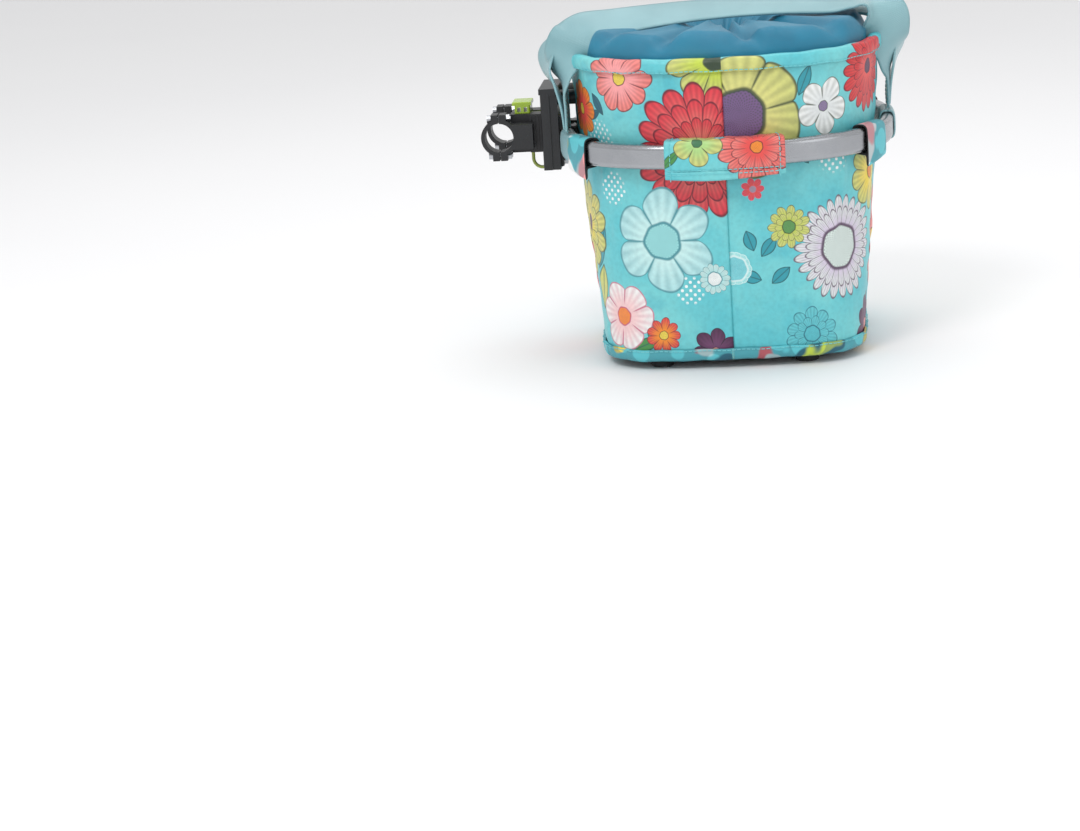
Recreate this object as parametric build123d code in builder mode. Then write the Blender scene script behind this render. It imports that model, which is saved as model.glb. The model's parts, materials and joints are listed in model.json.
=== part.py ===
from build123d import *
from math import atan2, cos, pi, radians, sin
import os

# A bicycle handlebar basket: a soft tapered bag hung in an oval aluminium hoop,
# with a quick-release plate at the back that drops onto a handlebar adapter.
#
# +X points forwards, away from the handlebar, +Y to the rider's left, +Z up.
# The origin is the centre of the bag's flat underside. All sizes are in millimetres.

os.makedirs("parts", exist_ok=True)

# ---------------------------------------------------------------- bag
# Each level has half a length, half a width, how far its front and rear walls bow out,
# how far its right and left walls bow out, and a corner radius.
BASE_HALF_X = 114.0
BASE_HALF_Y = 118.0
BASE_BOW_X = 5.0
BASE_BOW_Y = 8.0
BASE_CORNER = 50.0
WAIST_HALF_X = 130.0  # at the height of the hoop
WAIST_HALF_Y = 132.5
RIM_HALF_X = 134.5
RIM_HALF_Y = 138.0
BOW_X = 24.0  # from the hoop up
BOW_Y = 30.0
CORNER = 104.0
BAG_HEIGHT = 260.0

SHELL_THICK = 1.6  # coated canvas
FOAM_THICK = 3.0  # stiffening board between canvas and lining
LINING_THICK = 1.0
PANEL_THICK = 1.6
BOARD_THICK = 3.0
LAYER_GAP = 0.1  # between two layers that lie on each other

BINDING_THICK = 1.0
TOP_BINDING_HEIGHT = 9.0
BOTTOM_BINDING_HEIGHT = 9.0
BOTTOM_BINDING_LAP = 6.0  # how far the bottom binding laps under the bag

COLLAR_THICK = 2.0
COLLAR_LAP = 14.0  # how far the collar reaches down inside the rim
COLLAR_RISE = 20.0  # from the rim to the collar's crest
COLLAR_INSET = 50.0  # from the rim in to the crest
MOUTH_HALF_X = 46.0
MOUTH_HALF_Y = 38.0

# ---------------------------------------------------------------- feet
FOOT_X = 63.0
FOOT_Y = 96.0
FOOT_RADIUS = 10.0
FOOT_HEIGHT = 9.0
RIVET_RADIUS = 2.0
RIVET_HEAD_RADIUS = 4.0
RIVET_HEAD = 1.2

# ---------------------------------------------------------------- hoop
HOOP_Z = 181.0  # height of the hoop's centreline
HOOP_GAP = 6.5  # clear space between the bag and the hoop
TUBE_THICK = 10.0
TUBE_HEIGHT = 21.0
TUBE_ROUND = 4.4
TUBE_WALL = 1.5
JOINER_HALF = 26.0  # half the length of the plug that joins the two tube halves
JOINER_RIVET_X = 14.0

GRIP_HALF = 49.0
GRIP_FOAM = 1.8
GRIP_CLOTH = 1.2
GRIP_FLAP = 2.5  # the sewn edge that hangs below the tube

LOOP_WIDTH = 27.0
LOOP_ANGLE = 31.0  # the hoop's outward direction where a loop holds it, from X
LOOP_CLOTH = 1.6
LOOP_CLEAR = 0.4
LOOP_WEB = 6.0  # height of the seam that joins a loop to the bag

# ---------------------------------------------------------------- strap
STRAP_WIDTH = 38.0
STRAP_THICK = 1.8
STRAP_REAR_Y = -53.5
STRAP_FRONT_Y = 0.0
STRAP_REAR_BULGE = 14.0  # how far the strap stands out behind the hoop
STRAP_FRONT_BULGE = 28.0
STRAP_ARCH = 14.0  # clear space between the collar and the strap
STRAP_LOOP_TOP = 8.0  # from the tube up to where the loop is sewn shut
STRAP_BIGHT = 42.0  # how far below the top each bight stands out furthest
STRAP_TURN = 9.0
STRAP_RUN = 88.0  # half the length of the straight run across the top

# ---------------------------------------------------------------- quick-release plate
PLATE_BELOW = 24.0  # from the hoop's centreline down to the plate's lower end
PLATE_ABOVE = 48.0
PLATE_GAP = 1.0
PLATE_WEB = 6.0
PLATE_LIP = 3.4
PLATE_SIDE = 5.0
RAIL_THICK = 5.0
RAIL_HALF = 28.0
RAIL_CLEAR = 0.3
LIP_REACH = 6.0
NECK_HALF = 21.5
SADDLE_Y = 18.0
SADDLE_WIDTH = 14.0
SADDLE_THICK = 2.4
SADDLE_EAR = 9.0
M4_RADIUS = 2.0
M5_RADIUS = 2.5
HOLE_CLEAR = 0.2
BOSS_RADIUS = 6.5
SUNK_HEAD = 2.8
SUNK_RADIUS = 3.6
M4_NUT = 3.2
M4_NUT_RADIUS = 4.0
CAP_HEAD = 4.0
PAN_HEAD = 3.0
STOP_GAP = 0.3  # between the plate's stop and the top of the rail
BACK_SCREW_Y = 22.0
BACK_SCREW_DROP = 9.0  # below the plate's upper end
BACK_BOARD_HALF = 62.0
BACK_BOARD_LOW = 110.0
BACK_BOARD_HIGH = 236.0

# ---------------------------------------------------------------- handlebar adapter
BAR_RADIUS = 12.7  # handlebar of 25.4 mm
BAR_BEHIND = 38.0  # from the plate's rear face to the handlebar's axis
BAR_Z = HOOP_Z + 7
CLAMP_WALL = 3.4
CLAMP_Y = 27.0
CLAMP_WIDTH = 16.0
CLAMP_SPLIT = 1.0
EAR_THICK = 6.0
EAR_WALL = 1.5
EAR_EDGE = 4.2
ARM_HALF = 11.0
NECK_LENGTH = 12.0
POCKET_WALL = 5.0
ADAPTER_LOW = HOOP_Z - 9
ADAPTER_HIGH = HOOP_Z + 25

BUTTON_LENGTH = 14.0
BUTTON_HALF = 13.0
BUTTON_RISE = 10.0
BUTTON_SINK = 4.5  # how deep the button sits in its pocket
BUTTON_TRAVEL = 5.0
BUTTON_FRONT = 11.0  # behind the plate's rear face
BUTTON_CLEAR = 0.25
LATCH_TRAVEL = 4.0
LATCH_HALF = 6.0
LATCH_WALL = 2.5
CAM_THICK = 3.0
CAM_HALF = 3.5
LATCH_LOW = HOOP_Z + 5
LATCH_HIGH = HOOP_Z + 13
LATCH_NOSE = 3.0  # how far the nose stands in the plate's groove
LATCH_LENGTH = 17.5
SPRING_WIRE = 0.6
SPRING_RADIUS = 2.4
CABLE_RADIUS = 1.5
CABLE_Y = -18.0
CABLE_DROP = 14.0
CABLE_LEG_BACK = 10.0  # behind the plate's rear face


# ---------------------------------------------------------------- helpers
def outline(height, half_x, half_y, bow_x, bow_y, corner):
    """A rounded rectangle at one height whose four sides bow out."""
    end = half_x - bow_x
    side = half_y - bow_y
    with BuildSketch(Plane.XY.offset(height)) as shape:
        with BuildLine():
            ThreePointArc((-end, -side), (0, -half_y), (end, -side))
            ThreePointArc((end, -side), (half_x, 0), (end, side))
            ThreePointArc((end, side), (0, half_y), (-end, side))
            ThreePointArc((-end, side), (-half_x, 0), (-end, -side))
        make_face()
        fillet(shape.vertices(), corner)
    return shape.sketch


BASE = (BASE_HALF_X, BASE_HALF_Y, BASE_BOW_X, BASE_BOW_Y, BASE_CORNER)
WAIST = (WAIST_HALF_X, WAIST_HALF_Y, BOW_X, BOW_Y, CORNER)
RIM = (RIM_HALF_X, RIM_HALF_Y, BOW_X, BOW_Y, CORNER)


def bag_level(z):
    """The bag's five plan sizes at height z."""
    if z < HOOP_Z:
        low, high, share = BASE, WAIST, z / HOOP_Z
    else:
        low, high, share = WAIST, RIM, (z - HOOP_Z) / (BAG_HEIGHT - HOOP_Z)
    return [start + (stop - start) * share for start, stop in zip(low, high)]


def bag_half_x(z):
    return bag_level(z)[0]


def bag_end_x(z, y):
    """How far out the front and rear walls lie at one height and one place across."""
    half_x, half_y, bow_x, bow_y, corner = bag_level(z)
    return bowed(half_x, half_y - bow_y, bow_x, y)


def bag_outline(z, grow):
    """The bag's plan at height z, with its walls moved out by grow."""
    half_x, half_y, bow_x, bow_y, corner = bag_level(z)
    return outline(z, half_x + grow, half_y + grow, bow_x, bow_y, corner + grow)


def bag_block(z_low, z_high, grow=0.0):
    """The bag between two heights, as one solid: it tapers to the hoop and less above it."""
    spread = 2 * RIM_HALF_Y
    with BuildPart() as body:
        loft(sections=[bag_outline(z, grow) for z in (-15, HOOP_Z, BAG_HEIGHT + 15)], ruled=True)
        block((-spread, spread), (-spread, spread), (z_low, z_high), mode=Mode.INTERSECT)
    return body.part


HOOP_OUT = HOOP_GAP + TUBE_THICK / 2  # from the bag's wall to the tube's centreline
HOOP_HALF_X = WAIST_HALF_X + HOOP_OUT
HOOP_HALF_Y = WAIST_HALF_Y + HOOP_OUT


def hoop_outline(z, grow):
    return outline(z, HOOP_HALF_X + grow, HOOP_HALF_Y + grow, BOW_X, BOW_Y, CORNER + HOOP_OUT + grow)


def bowed(half, across, bow, place):
    """How far out a bowed side of the hoop lies at one place along it."""
    radius = (across ** 2 + bow ** 2) / (2 * bow)
    return half - radius + (radius ** 2 - place ** 2) ** 0.5


def hoop_side_y(x):
    """Where the tube's centreline runs on the right and left sides."""
    return bowed(HOOP_HALF_Y, HOOP_HALF_X - BOW_X, BOW_Y, x)


def hoop_end_x(y):
    """Where the tube's centreline runs at the front and rear."""
    return bowed(HOOP_HALF_X, HOOP_HALF_Y - BOW_Y, BOW_X, y)


def hoop_block(grow, half_height, rounding=0.0):
    """A closed ring along the tube's centreline, grow to each side of it."""
    low = HOOP_Z - half_height
    with BuildPart() as ring:
        extrude(hoop_outline(low, grow), amount=2 * half_height)
        extrude(hoop_outline(low, -grow), amount=2 * half_height, mode=Mode.SUBTRACT)
        if rounding:
            ends = ring.edges().group_by(Axis.Z)
            fillet(ends[0] + ends[-1], rounding)
    return ring.part


def block(x_span, y_span, z_span, mode=Mode.ADD):
    """A plain block between three pairs of limits."""
    spans = (x_span, y_span, z_span)
    centre = tuple((low + high) / 2 for low, high in spans)
    size = tuple(high - low for low, high in spans)
    with Locations(centre):
        Box(*size, mode=mode)


def rod_x(x_span, y, z, radius, mode=Mode.ADD):
    """A round rod along X."""
    low, high = x_span
    with Locations(((low + high) / 2, y, z)):
        Cylinder(radius, high - low, rotation=(0, 90, 0), mode=mode)


def rod_y(x, y_span, z, radius, mode=Mode.ADD):
    """A round rod along Y."""
    low, high = y_span
    with Locations((x, (low + high) / 2, z)):
        Cylinder(radius, high - low, rotation=(90, 0, 0), mode=mode)


def rod_z(x, y, z_span, radius, mode=Mode.ADD):
    """A round rod along Z."""
    low, high = z_span
    with Locations((x, y, (low + high) / 2)):
        Cylinder(radius, high - low, mode=mode)


def save(part, name):
    part.label = name
    export_step(part, f"parts/{name}.step")
    print(f"{name}: {len(part.solids())} solids, {part.volume:.0f} mm3")


# ---------------------------------------------------------------- places worked out
INNER = SHELL_THICK + FOAM_THICK + LAYER_GAP  # outer face of the lining
FLOOR_Z = PANEL_THICK + LAYER_GAP + BOARD_THICK + LAYER_GAP  # underside of the lining's floor
PLATE_LOW = HOOP_Z - PLATE_BELOW
PLATE_HIGH = HOOP_Z + PLATE_ABOVE
PLATE_FRONT = -(HOOP_HALF_X + TUBE_THICK / 2 + PLATE_GAP)
WEB_REAR = PLATE_FRONT - PLATE_WEB
LIP_FRONT = WEB_REAR - RAIL_THICK - 2 * RAIL_CLEAR
PLATE_REAR = LIP_FRONT - PLATE_LIP
CHANNEL_HALF = RAIL_HALF + RAIL_CLEAR
PLATE_HALF = CHANNEL_HALF + PLATE_SIDE
BAR_X = PLATE_REAR - BAR_BEHIND
BACK_SCREW_Z = PLATE_HIGH - BACK_SCREW_DROP
SADDLE_SCREW_RISE = TUBE_HEIGHT / 2 + SADDLE_THICK + SADDLE_EAR / 2
FOOT_PLACES = [(x, y) for x in (-FOOT_X, FOOT_X) for y in (-FOOT_Y, FOOT_Y)]
SADDLE_PLACES = [(y, HOOP_Z + rise) for y in (-SADDLE_Y, SADDLE_Y)
                 for rise in (-SADDLE_SCREW_RISE, SADDLE_SCREW_RISE)]


def back_screw_holes(x_span):
    for y in (-BACK_SCREW_Y, BACK_SCREW_Y):
        rod_x(x_span, y, BACK_SCREW_Z, M5_RADIUS + HOLE_CLEAR, mode=Mode.SUBTRACT)


# ================================================================ bag
# The canvas shell is two halves, sewn together along the middle of each long side.
with BuildPart() as canvas:
    add(bag_block(0, BAG_HEIGHT))
    add(bag_block(-LAYER_GAP, BAG_HEIGHT + LAYER_GAP, -SHELL_THICK), mode=Mode.SUBTRACT)
    back_screw_holes((-RIM_HALF_X * 1.2, 0))

with BuildPart() as shell_front_half:
    add(canvas.part)
    split(bisect_by=Plane.YZ, keep=Keep.TOP)
save(shell_front_half.part, "shell_front_half")

with BuildPart() as shell_rear_half:
    add(canvas.part)
    split(bisect_by=Plane.YZ, keep=Keep.BOTTOM)
save(shell_rear_half.part, "shell_rear_half")

with BuildPart() as wall_stiffener:
    add(bag_block(PANEL_THICK + LAYER_GAP, BAG_HEIGHT, -SHELL_THICK - LAYER_GAP))
    add(bag_block(PANEL_THICK, BAG_HEIGHT + LAYER_GAP, -SHELL_THICK - FOAM_THICK), mode=Mode.SUBTRACT)
    back_screw_holes((-RIM_HALF_X * 1.2, 0))
save(wall_stiffener.part, "wall_stiffener")

with BuildPart() as lining_bag:
    add(bag_block(FLOOR_Z, BAG_HEIGHT, -INNER))
    add(bag_block(FLOOR_Z + LINING_THICK, BAG_HEIGHT + LAYER_GAP, -INNER - LINING_THICK), mode=Mode.SUBTRACT)
    back_screw_holes((-RIM_HALF_X * 1.2, 0))
save(lining_bag.part, "lining_bag")

with BuildPart() as bottom_panel:
    add(bag_block(0, PANEL_THICK, -SHELL_THICK - LAYER_GAP))
    for foot_x, foot_y in FOOT_PLACES:
        rod_z(foot_x, foot_y, (-1, PANEL_THICK + 1), RIVET_RADIUS + LAYER_GAP, mode=Mode.SUBTRACT)
save(bottom_panel.part, "bottom_panel")

with BuildPart() as base_board:
    board_low = PANEL_THICK + LAYER_GAP
    add(bag_block(board_low, board_low + BOARD_THICK, -INNER))
    for foot_x, foot_y in FOOT_PLACES:
        rod_z(foot_x, foot_y, (0, FLOOR_Z), RIVET_RADIUS + LAYER_GAP, mode=Mode.SUBTRACT)
        rod_z(foot_x, foot_y, (FLOOR_Z - LAYER_GAP - RIVET_HEAD, FLOOR_Z), RIVET_HEAD_RADIUS + LAYER_GAP,
              mode=Mode.SUBTRACT)
save(base_board.part, "base_board")

# The top binding folds over the rim and holds canvas, board and lining together.
WALL_TOTAL = INNER + LINING_THICK
with BuildPart() as top_hem_binding:
    hem_low = BAG_HEIGHT - TOP_BINDING_HEIGHT
    hem_high = BAG_HEIGHT + BINDING_THICK
    add(bag_block(hem_low, hem_high, BINDING_THICK))
    add(bag_block(hem_low - 1, BAG_HEIGHT + LAYER_GAP, LAYER_GAP), mode=Mode.SUBTRACT)
    add(bag_block(hem_low - 1, hem_high + 1, -WALL_TOTAL), mode=Mode.SUBTRACT)
    with BuildPart(mode=Mode.PRIVATE) as hem_inside:
        add(bag_block(hem_low, hem_high, -WALL_TOTAL - LAYER_GAP))
        add(bag_block(hem_low - 1, hem_high + 1, -WALL_TOTAL - BINDING_THICK), mode=Mode.SUBTRACT)
    with BuildPart(mode=Mode.PRIVATE) as hem_cap:
        add(bag_block(BAG_HEIGHT + LAYER_GAP, hem_high, -WALL_TOTAL + LAYER_GAP))
        add(bag_block(BAG_HEIGHT, hem_high + 1, -WALL_TOTAL - BINDING_THICK), mode=Mode.SUBTRACT)
    add(hem_cap.part)
    add(hem_inside.part)
save(top_hem_binding.part, "top_hem_binding")

with BuildPart() as bottom_binding:
    add(bag_block(-BINDING_THICK, BOTTOM_BINDING_HEIGHT, BINDING_THICK))
    add(bag_block(-LAYER_GAP, BOTTOM_BINDING_HEIGHT + 1, LAYER_GAP), mode=Mode.SUBTRACT)
    add(bag_block(-BINDING_THICK - 1, 0, -BOTTOM_BINDING_LAP), mode=Mode.SUBTRACT)
save(bottom_binding.part, "bottom_binding")

# The drawn-up collar: it rises from inside the rim to a crest, then closes in to a mouth.
COLLAR_OUT = WALL_TOTAL + BINDING_THICK + LAYER_GAP
CREST_Z = BAG_HEIGHT + COLLAR_RISE


def collar_block(grow, drop):
    """The collar's form, moved in by -grow and down by drop at the crest."""
    turn_z = BAG_HEIGHT + BINDING_THICK
    crest = outline(CREST_Z - drop, RIM_HALF_X - COLLAR_INSET + grow, RIM_HALF_Y - COLLAR_INSET + grow,
                    BOW_X / 2, BOW_Y / 2, CORNER - COLLAR_INSET + grow)
    low = bag_outline(BAG_HEIGHT - COLLAR_LAP - max(0, -grow), grow - COLLAR_OUT)
    with BuildPart() as form:
        loft(sections=[low, bag_outline(turn_z, grow - COLLAR_OUT), crest], ruled=True)
    return form.part


with BuildPart() as drawstring_collar:
    add(collar_block(0, 0))
    add(collar_block(-COLLAR_THICK, COLLAR_THICK), mode=Mode.SUBTRACT)
    with BuildSketch(Plane.XY.offset(BAG_HEIGHT)):
        Ellipse(MOUTH_HALF_X, MOUTH_HALF_Y)
    extrude(amount=COLLAR_RISE + 5, mode=Mode.SUBTRACT)
save(drawstring_collar.part, "drawstring_collar")

# ================================================================ feet
with BuildPart() as rubber_feet:
    for foot_x, foot_y in FOOT_PLACES:
        with BuildSketch(Plane.XY.offset(-FOOT_HEIGHT)):
            with Locations((foot_x, foot_y)):
                Circle(FOOT_RADIUS)
        extrude(amount=FOOT_HEIGHT, taper=4)
    fillet(rubber_feet.edges().group_by(Axis.Z)[0], 1.2)
    for foot_x, foot_y in FOOT_PLACES:
        rod_z(foot_x, foot_y, (-FOOT_HEIGHT - 1, 1), RIVET_RADIUS + LAYER_GAP, mode=Mode.SUBTRACT)
        rod_z(foot_x, foot_y, (-FOOT_HEIGHT - 1, -FOOT_HEIGHT + 2), RIVET_HEAD_RADIUS + LAYER_GAP,
              mode=Mode.SUBTRACT)
save(rubber_feet.part, "rubber_feet")

with BuildPart() as foot_rivets:
    for foot_x, foot_y in FOOT_PLACES:
        rod_z(foot_x, foot_y, (-FOOT_HEIGHT + 2 - RIVET_HEAD, FLOOR_Z - LAYER_GAP), RIVET_RADIUS)
        rod_z(foot_x, foot_y, (-FOOT_HEIGHT + 2 - RIVET_HEAD, -FOOT_HEIGHT + 2), RIVET_HEAD_RADIUS)
        rod_z(foot_x, foot_y, (FLOOR_Z - LAYER_GAP - RIVET_HEAD, FLOOR_Z - LAYER_GAP), RIVET_HEAD_RADIUS)
save(foot_rivets.part, "foot_rivets")

# ================================================================ hoop
with BuildPart() as tube_ring:
    add(hoop_block(TUBE_THICK / 2, TUBE_HEIGHT / 2, TUBE_ROUND))
    add(hoop_block(TUBE_THICK / 2 - TUBE_WALL, TUBE_HEIGHT / 2 - TUBE_WALL, TUBE_ROUND - TUBE_WALL),
        mode=Mode.SUBTRACT)
    for rivet_x in (-JOINER_RIVET_X, JOINER_RIVET_X):
        rod_y(rivet_x, (-HOOP_HALF_Y * 1.2, HOOP_HALF_Y * 1.2), HOOP_Z, RIVET_RADIUS + LAYER_GAP,
              mode=Mode.SUBTRACT)

with BuildPart() as hoop_front:
    add(tube_ring.part)
    split(bisect_by=Plane.YZ, keep=Keep.TOP)
save(hoop_front.part, "hoop_front")

with BuildPart() as hoop_rear:
    add(tube_ring.part)
    split(bisect_by=Plane.YZ, keep=Keep.BOTTOM)
save(hoop_rear.part, "hoop_rear")

with BuildPart() as hoop_joiners:
    bore_gap = TUBE_WALL + LAYER_GAP
    add(hoop_block(TUBE_THICK / 2 - bore_gap, TUBE_HEIGHT / 2 - bore_gap, TUBE_ROUND - bore_gap))
    block((-JOINER_HALF, JOINER_HALF), (-HOOP_HALF_Y * 1.2, HOOP_HALF_Y * 1.2),
          (HOOP_Z - TUBE_HEIGHT, HOOP_Z + TUBE_HEIGHT), mode=Mode.INTERSECT)
    for rivet_x in (-JOINER_RIVET_X, JOINER_RIVET_X):
        rod_y(rivet_x, (-HOOP_HALF_Y * 1.2, HOOP_HALF_Y * 1.2), HOOP_Z, RIVET_RADIUS + LAYER_GAP,
              mode=Mode.SUBTRACT)
save(hoop_joiners.part, "hoop_joiners")


with BuildPart() as joiner_rivets:
    rivet_y = hoop_side_y(JOINER_RIVET_X)
    for rivet_x in (-JOINER_RIVET_X, JOINER_RIVET_X):
        for side in (-1, 1):
            inside = side * (rivet_y - TUBE_THICK / 2 - 0.8)
            outside = side * (rivet_y + TUBE_THICK / 2 + 0.8)
            rod_y(rivet_x, sorted((inside, outside)), HOOP_Z, RIVET_RADIUS)
            rod_y(rivet_x, sorted((outside, outside - side * 0.4)), HOOP_Z, RIVET_RADIUS * 1.7)
            rod_y(rivet_x, sorted((inside, inside + side * 0.4)), HOOP_Z, RIVET_RADIUS * 1.5)
save(joiner_rivets.part, "joiner_rivets")

# ================================================================ grips
# A foam sleeve and a cloth cover wrap the middle of the tube on each long side.
FOAM_IN = TUBE_THICK / 2 + 1.0
FOAM_OUT = FOAM_IN + GRIP_FOAM
CLOTH_IN = FOAM_OUT + LAYER_GAP
CLOTH_OUT = CLOTH_IN + GRIP_CLOTH
TUBE_EXTRA = (TUBE_HEIGHT - TUBE_THICK) / 2  # the tube is taller than it is thick
SIDES = {"right": -1, "left": 1}


def keep_side(side, x_span, z_span):
    """Keep only what lies on one side of the bag, within the limits given."""
    block(x_span, sorted((side * HOOP_HALF_Y / 2, side * HOOP_HALF_Y * 1.2)), z_span, mode=Mode.INTERSECT)


for side_name, side in SIDES.items():
    with BuildPart() as grip_foam:
        add(hoop_block(FOAM_OUT, FOAM_OUT + TUBE_EXTRA, TUBE_ROUND))
        add(hoop_block(FOAM_IN, FOAM_IN + TUBE_EXTRA, TUBE_ROUND - 1), mode=Mode.SUBTRACT)
        keep_side(side, (-GRIP_HALF - 1, GRIP_HALF - 3), (HOOP_Z - 30, HOOP_Z + 30))
    save(grip_foam.part, f"grip_foam_{side_name}")

    with BuildPart() as grip_sleeve:
        add(hoop_block(CLOTH_OUT, CLOTH_OUT + TUBE_EXTRA, TUBE_ROUND))
        add(hoop_block(CLOTH_IN, CLOTH_IN + TUBE_EXTRA, TUBE_ROUND - 1), mode=Mode.SUBTRACT)
        flap_top = HOOP_Z - CLOTH_IN
        flap_low = HOOP_Z - CLOTH_OUT - TUBE_EXTRA - GRIP_FLAP
        extrude(hoop_outline(flap_low, CLOTH_OUT), amount=flap_top - flap_low)
        extrude(hoop_outline(flap_low - 1, CLOTH_IN), amount=flap_top - flap_low + 1, mode=Mode.SUBTRACT)
        keep_side(side, (-GRIP_HALF, GRIP_HALF), (HOOP_Z - 40, HOOP_Z + 30))
    save(grip_sleeve.part, f"grip_sleeve_{side_name}")

# ================================================================ corner loops
# Four cloth loops sewn to the bag carry the hoop at its corners.
SIDE_SLOPE = 2 * atan2(BOW_Y, HOOP_HALF_X - BOW_X)
END_SLOPE = 2 * atan2(BOW_X, HOOP_HALF_Y - BOW_Y)
CORNER_MIDDLE = (END_SLOPE + pi / 2 - SIDE_SLOPE) / 2
CORNER_REACH = (CORNER + HOOP_OUT) / cos((pi / 2 - SIDE_SLOPE - END_SLOPE) / 2)
LOOP_X = (HOOP_HALF_X - BOW_X - CORNER_REACH * cos(CORNER_MIDDLE)
          + (CORNER + HOOP_OUT) * cos(radians(LOOP_ANGLE)))
LOOP_Y = (HOOP_HALF_Y - BOW_Y - CORNER_REACH * sin(CORNER_MIDDLE)
          + (CORNER + HOOP_OUT) * sin(radians(LOOP_ANGLE)))
LOOP_IN = TUBE_THICK / 2 + LOOP_CLEAR
LOOP_OUT = LOOP_IN + LOOP_CLOTH


def corner_sector(end, side):
    """The slice of the hoop's corner that a loop covers."""
    with BuildPart() as sector:
        with Locations(Location((end * LOOP_X, side * LOOP_Y, HOOP_Z), (0, 0, end * side * LOOP_ANGLE))):
            Box(60, LOOP_WIDTH, 80)
    return sector.part


for end_name, end in {"rear": -1, "front": 1}.items():
    for side_name, side in SIDES.items():
        with BuildPart() as corner_loop:
            add(bag_block(HOOP_Z - LOOP_WEB / 2, HOOP_Z + LOOP_WEB / 2, HOOP_GAP))
            add(bag_block(HOOP_Z - 20, HOOP_Z + 20, LAYER_GAP), mode=Mode.SUBTRACT)
            add(hoop_block(LOOP_OUT, LOOP_OUT + TUBE_EXTRA, TUBE_ROUND + 1))
            add(hoop_block(LOOP_IN, LOOP_IN + TUBE_EXTRA, TUBE_ROUND), mode=Mode.SUBTRACT)
            add(corner_sector(end, side), mode=Mode.INTERSECT)
        save(corner_loop.part, f"corner_loop_{end_name}_{side_name}")

# ================================================================ shoulder strap
# One length of webbing. Each end is sewn into a loop round the hoop; the rest lies
# doubled back over the top of the bag in two standing bights.
STRAP_TOP = CREST_Z + STRAP_ARCH
TUBE_TOP = HOOP_Z + TUBE_HEIGHT / 2


def strap_end(end, y_middle, bulge):
    """One end of the strap: a loop round the tube, then a bight standing out to the top."""
    tube_x = end * hoop_end_x(y_middle)
    reach = TUBE_THICK / 2 + LOOP_CLEAR
    sewn_z = TUBE_TOP + STRAP_LOOP_TOP
    out_x = end * (HOOP_HALF_X + TUBE_THICK / 2 + bulge)
    bight_z = STRAP_TOP - STRAP_BIGHT
    width = (y_middle - STRAP_WIDTH / 2, y_middle + STRAP_WIDTH / 2)
    with BuildPart() as piece:
        add(hoop_block(reach + STRAP_THICK, reach + STRAP_THICK + TUBE_EXTRA, TUBE_ROUND + 1))
        add(hoop_block(reach, reach + TUBE_EXTRA, TUBE_ROUND), mode=Mode.SUBTRACT)
        block(sorted((end * HOOP_HALF_X / 2, end * HOOP_HALF_X * 1.2)), width, (HOOP_Z - 40, HOOP_Z + 40),
              mode=Mode.INTERSECT)
        with BuildSketch(Plane.XZ.offset(-y_middle)):
            with BuildLine():
                FilletPolyline((tube_x, TUBE_TOP + LOOP_CLEAR + STRAP_THICK / 2), (tube_x, sewn_z),
                               (out_x, bight_z), (out_x - end * STRAP_BIGHT / 2, STRAP_TOP),
                               (end * STRAP_RUN, STRAP_TOP), radius=STRAP_TURN)
                offset(amount=STRAP_THICK / 2, side=Side.BOTH)
            make_face()
        extrude(amount=STRAP_WIDTH / 2, both=True)
    return piece.part


with BuildPart() as shoulder_strap:
    add(strap_end(-1, STRAP_REAR_Y, STRAP_REAR_BULGE))
    add(strap_end(1, STRAP_FRONT_Y, STRAP_FRONT_BULGE))
    for run_x, run_y in ((-STRAP_RUN, STRAP_REAR_Y), (STRAP_RUN, STRAP_FRONT_Y)):
        with BuildSketch(Plane.YZ.offset(run_x)):
            with Locations((run_y, STRAP_TOP)):
                Rectangle(STRAP_WIDTH, STRAP_THICK)
    loft(ruled=True)
save(shoulder_strap.part, "shoulder_strap")

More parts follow.
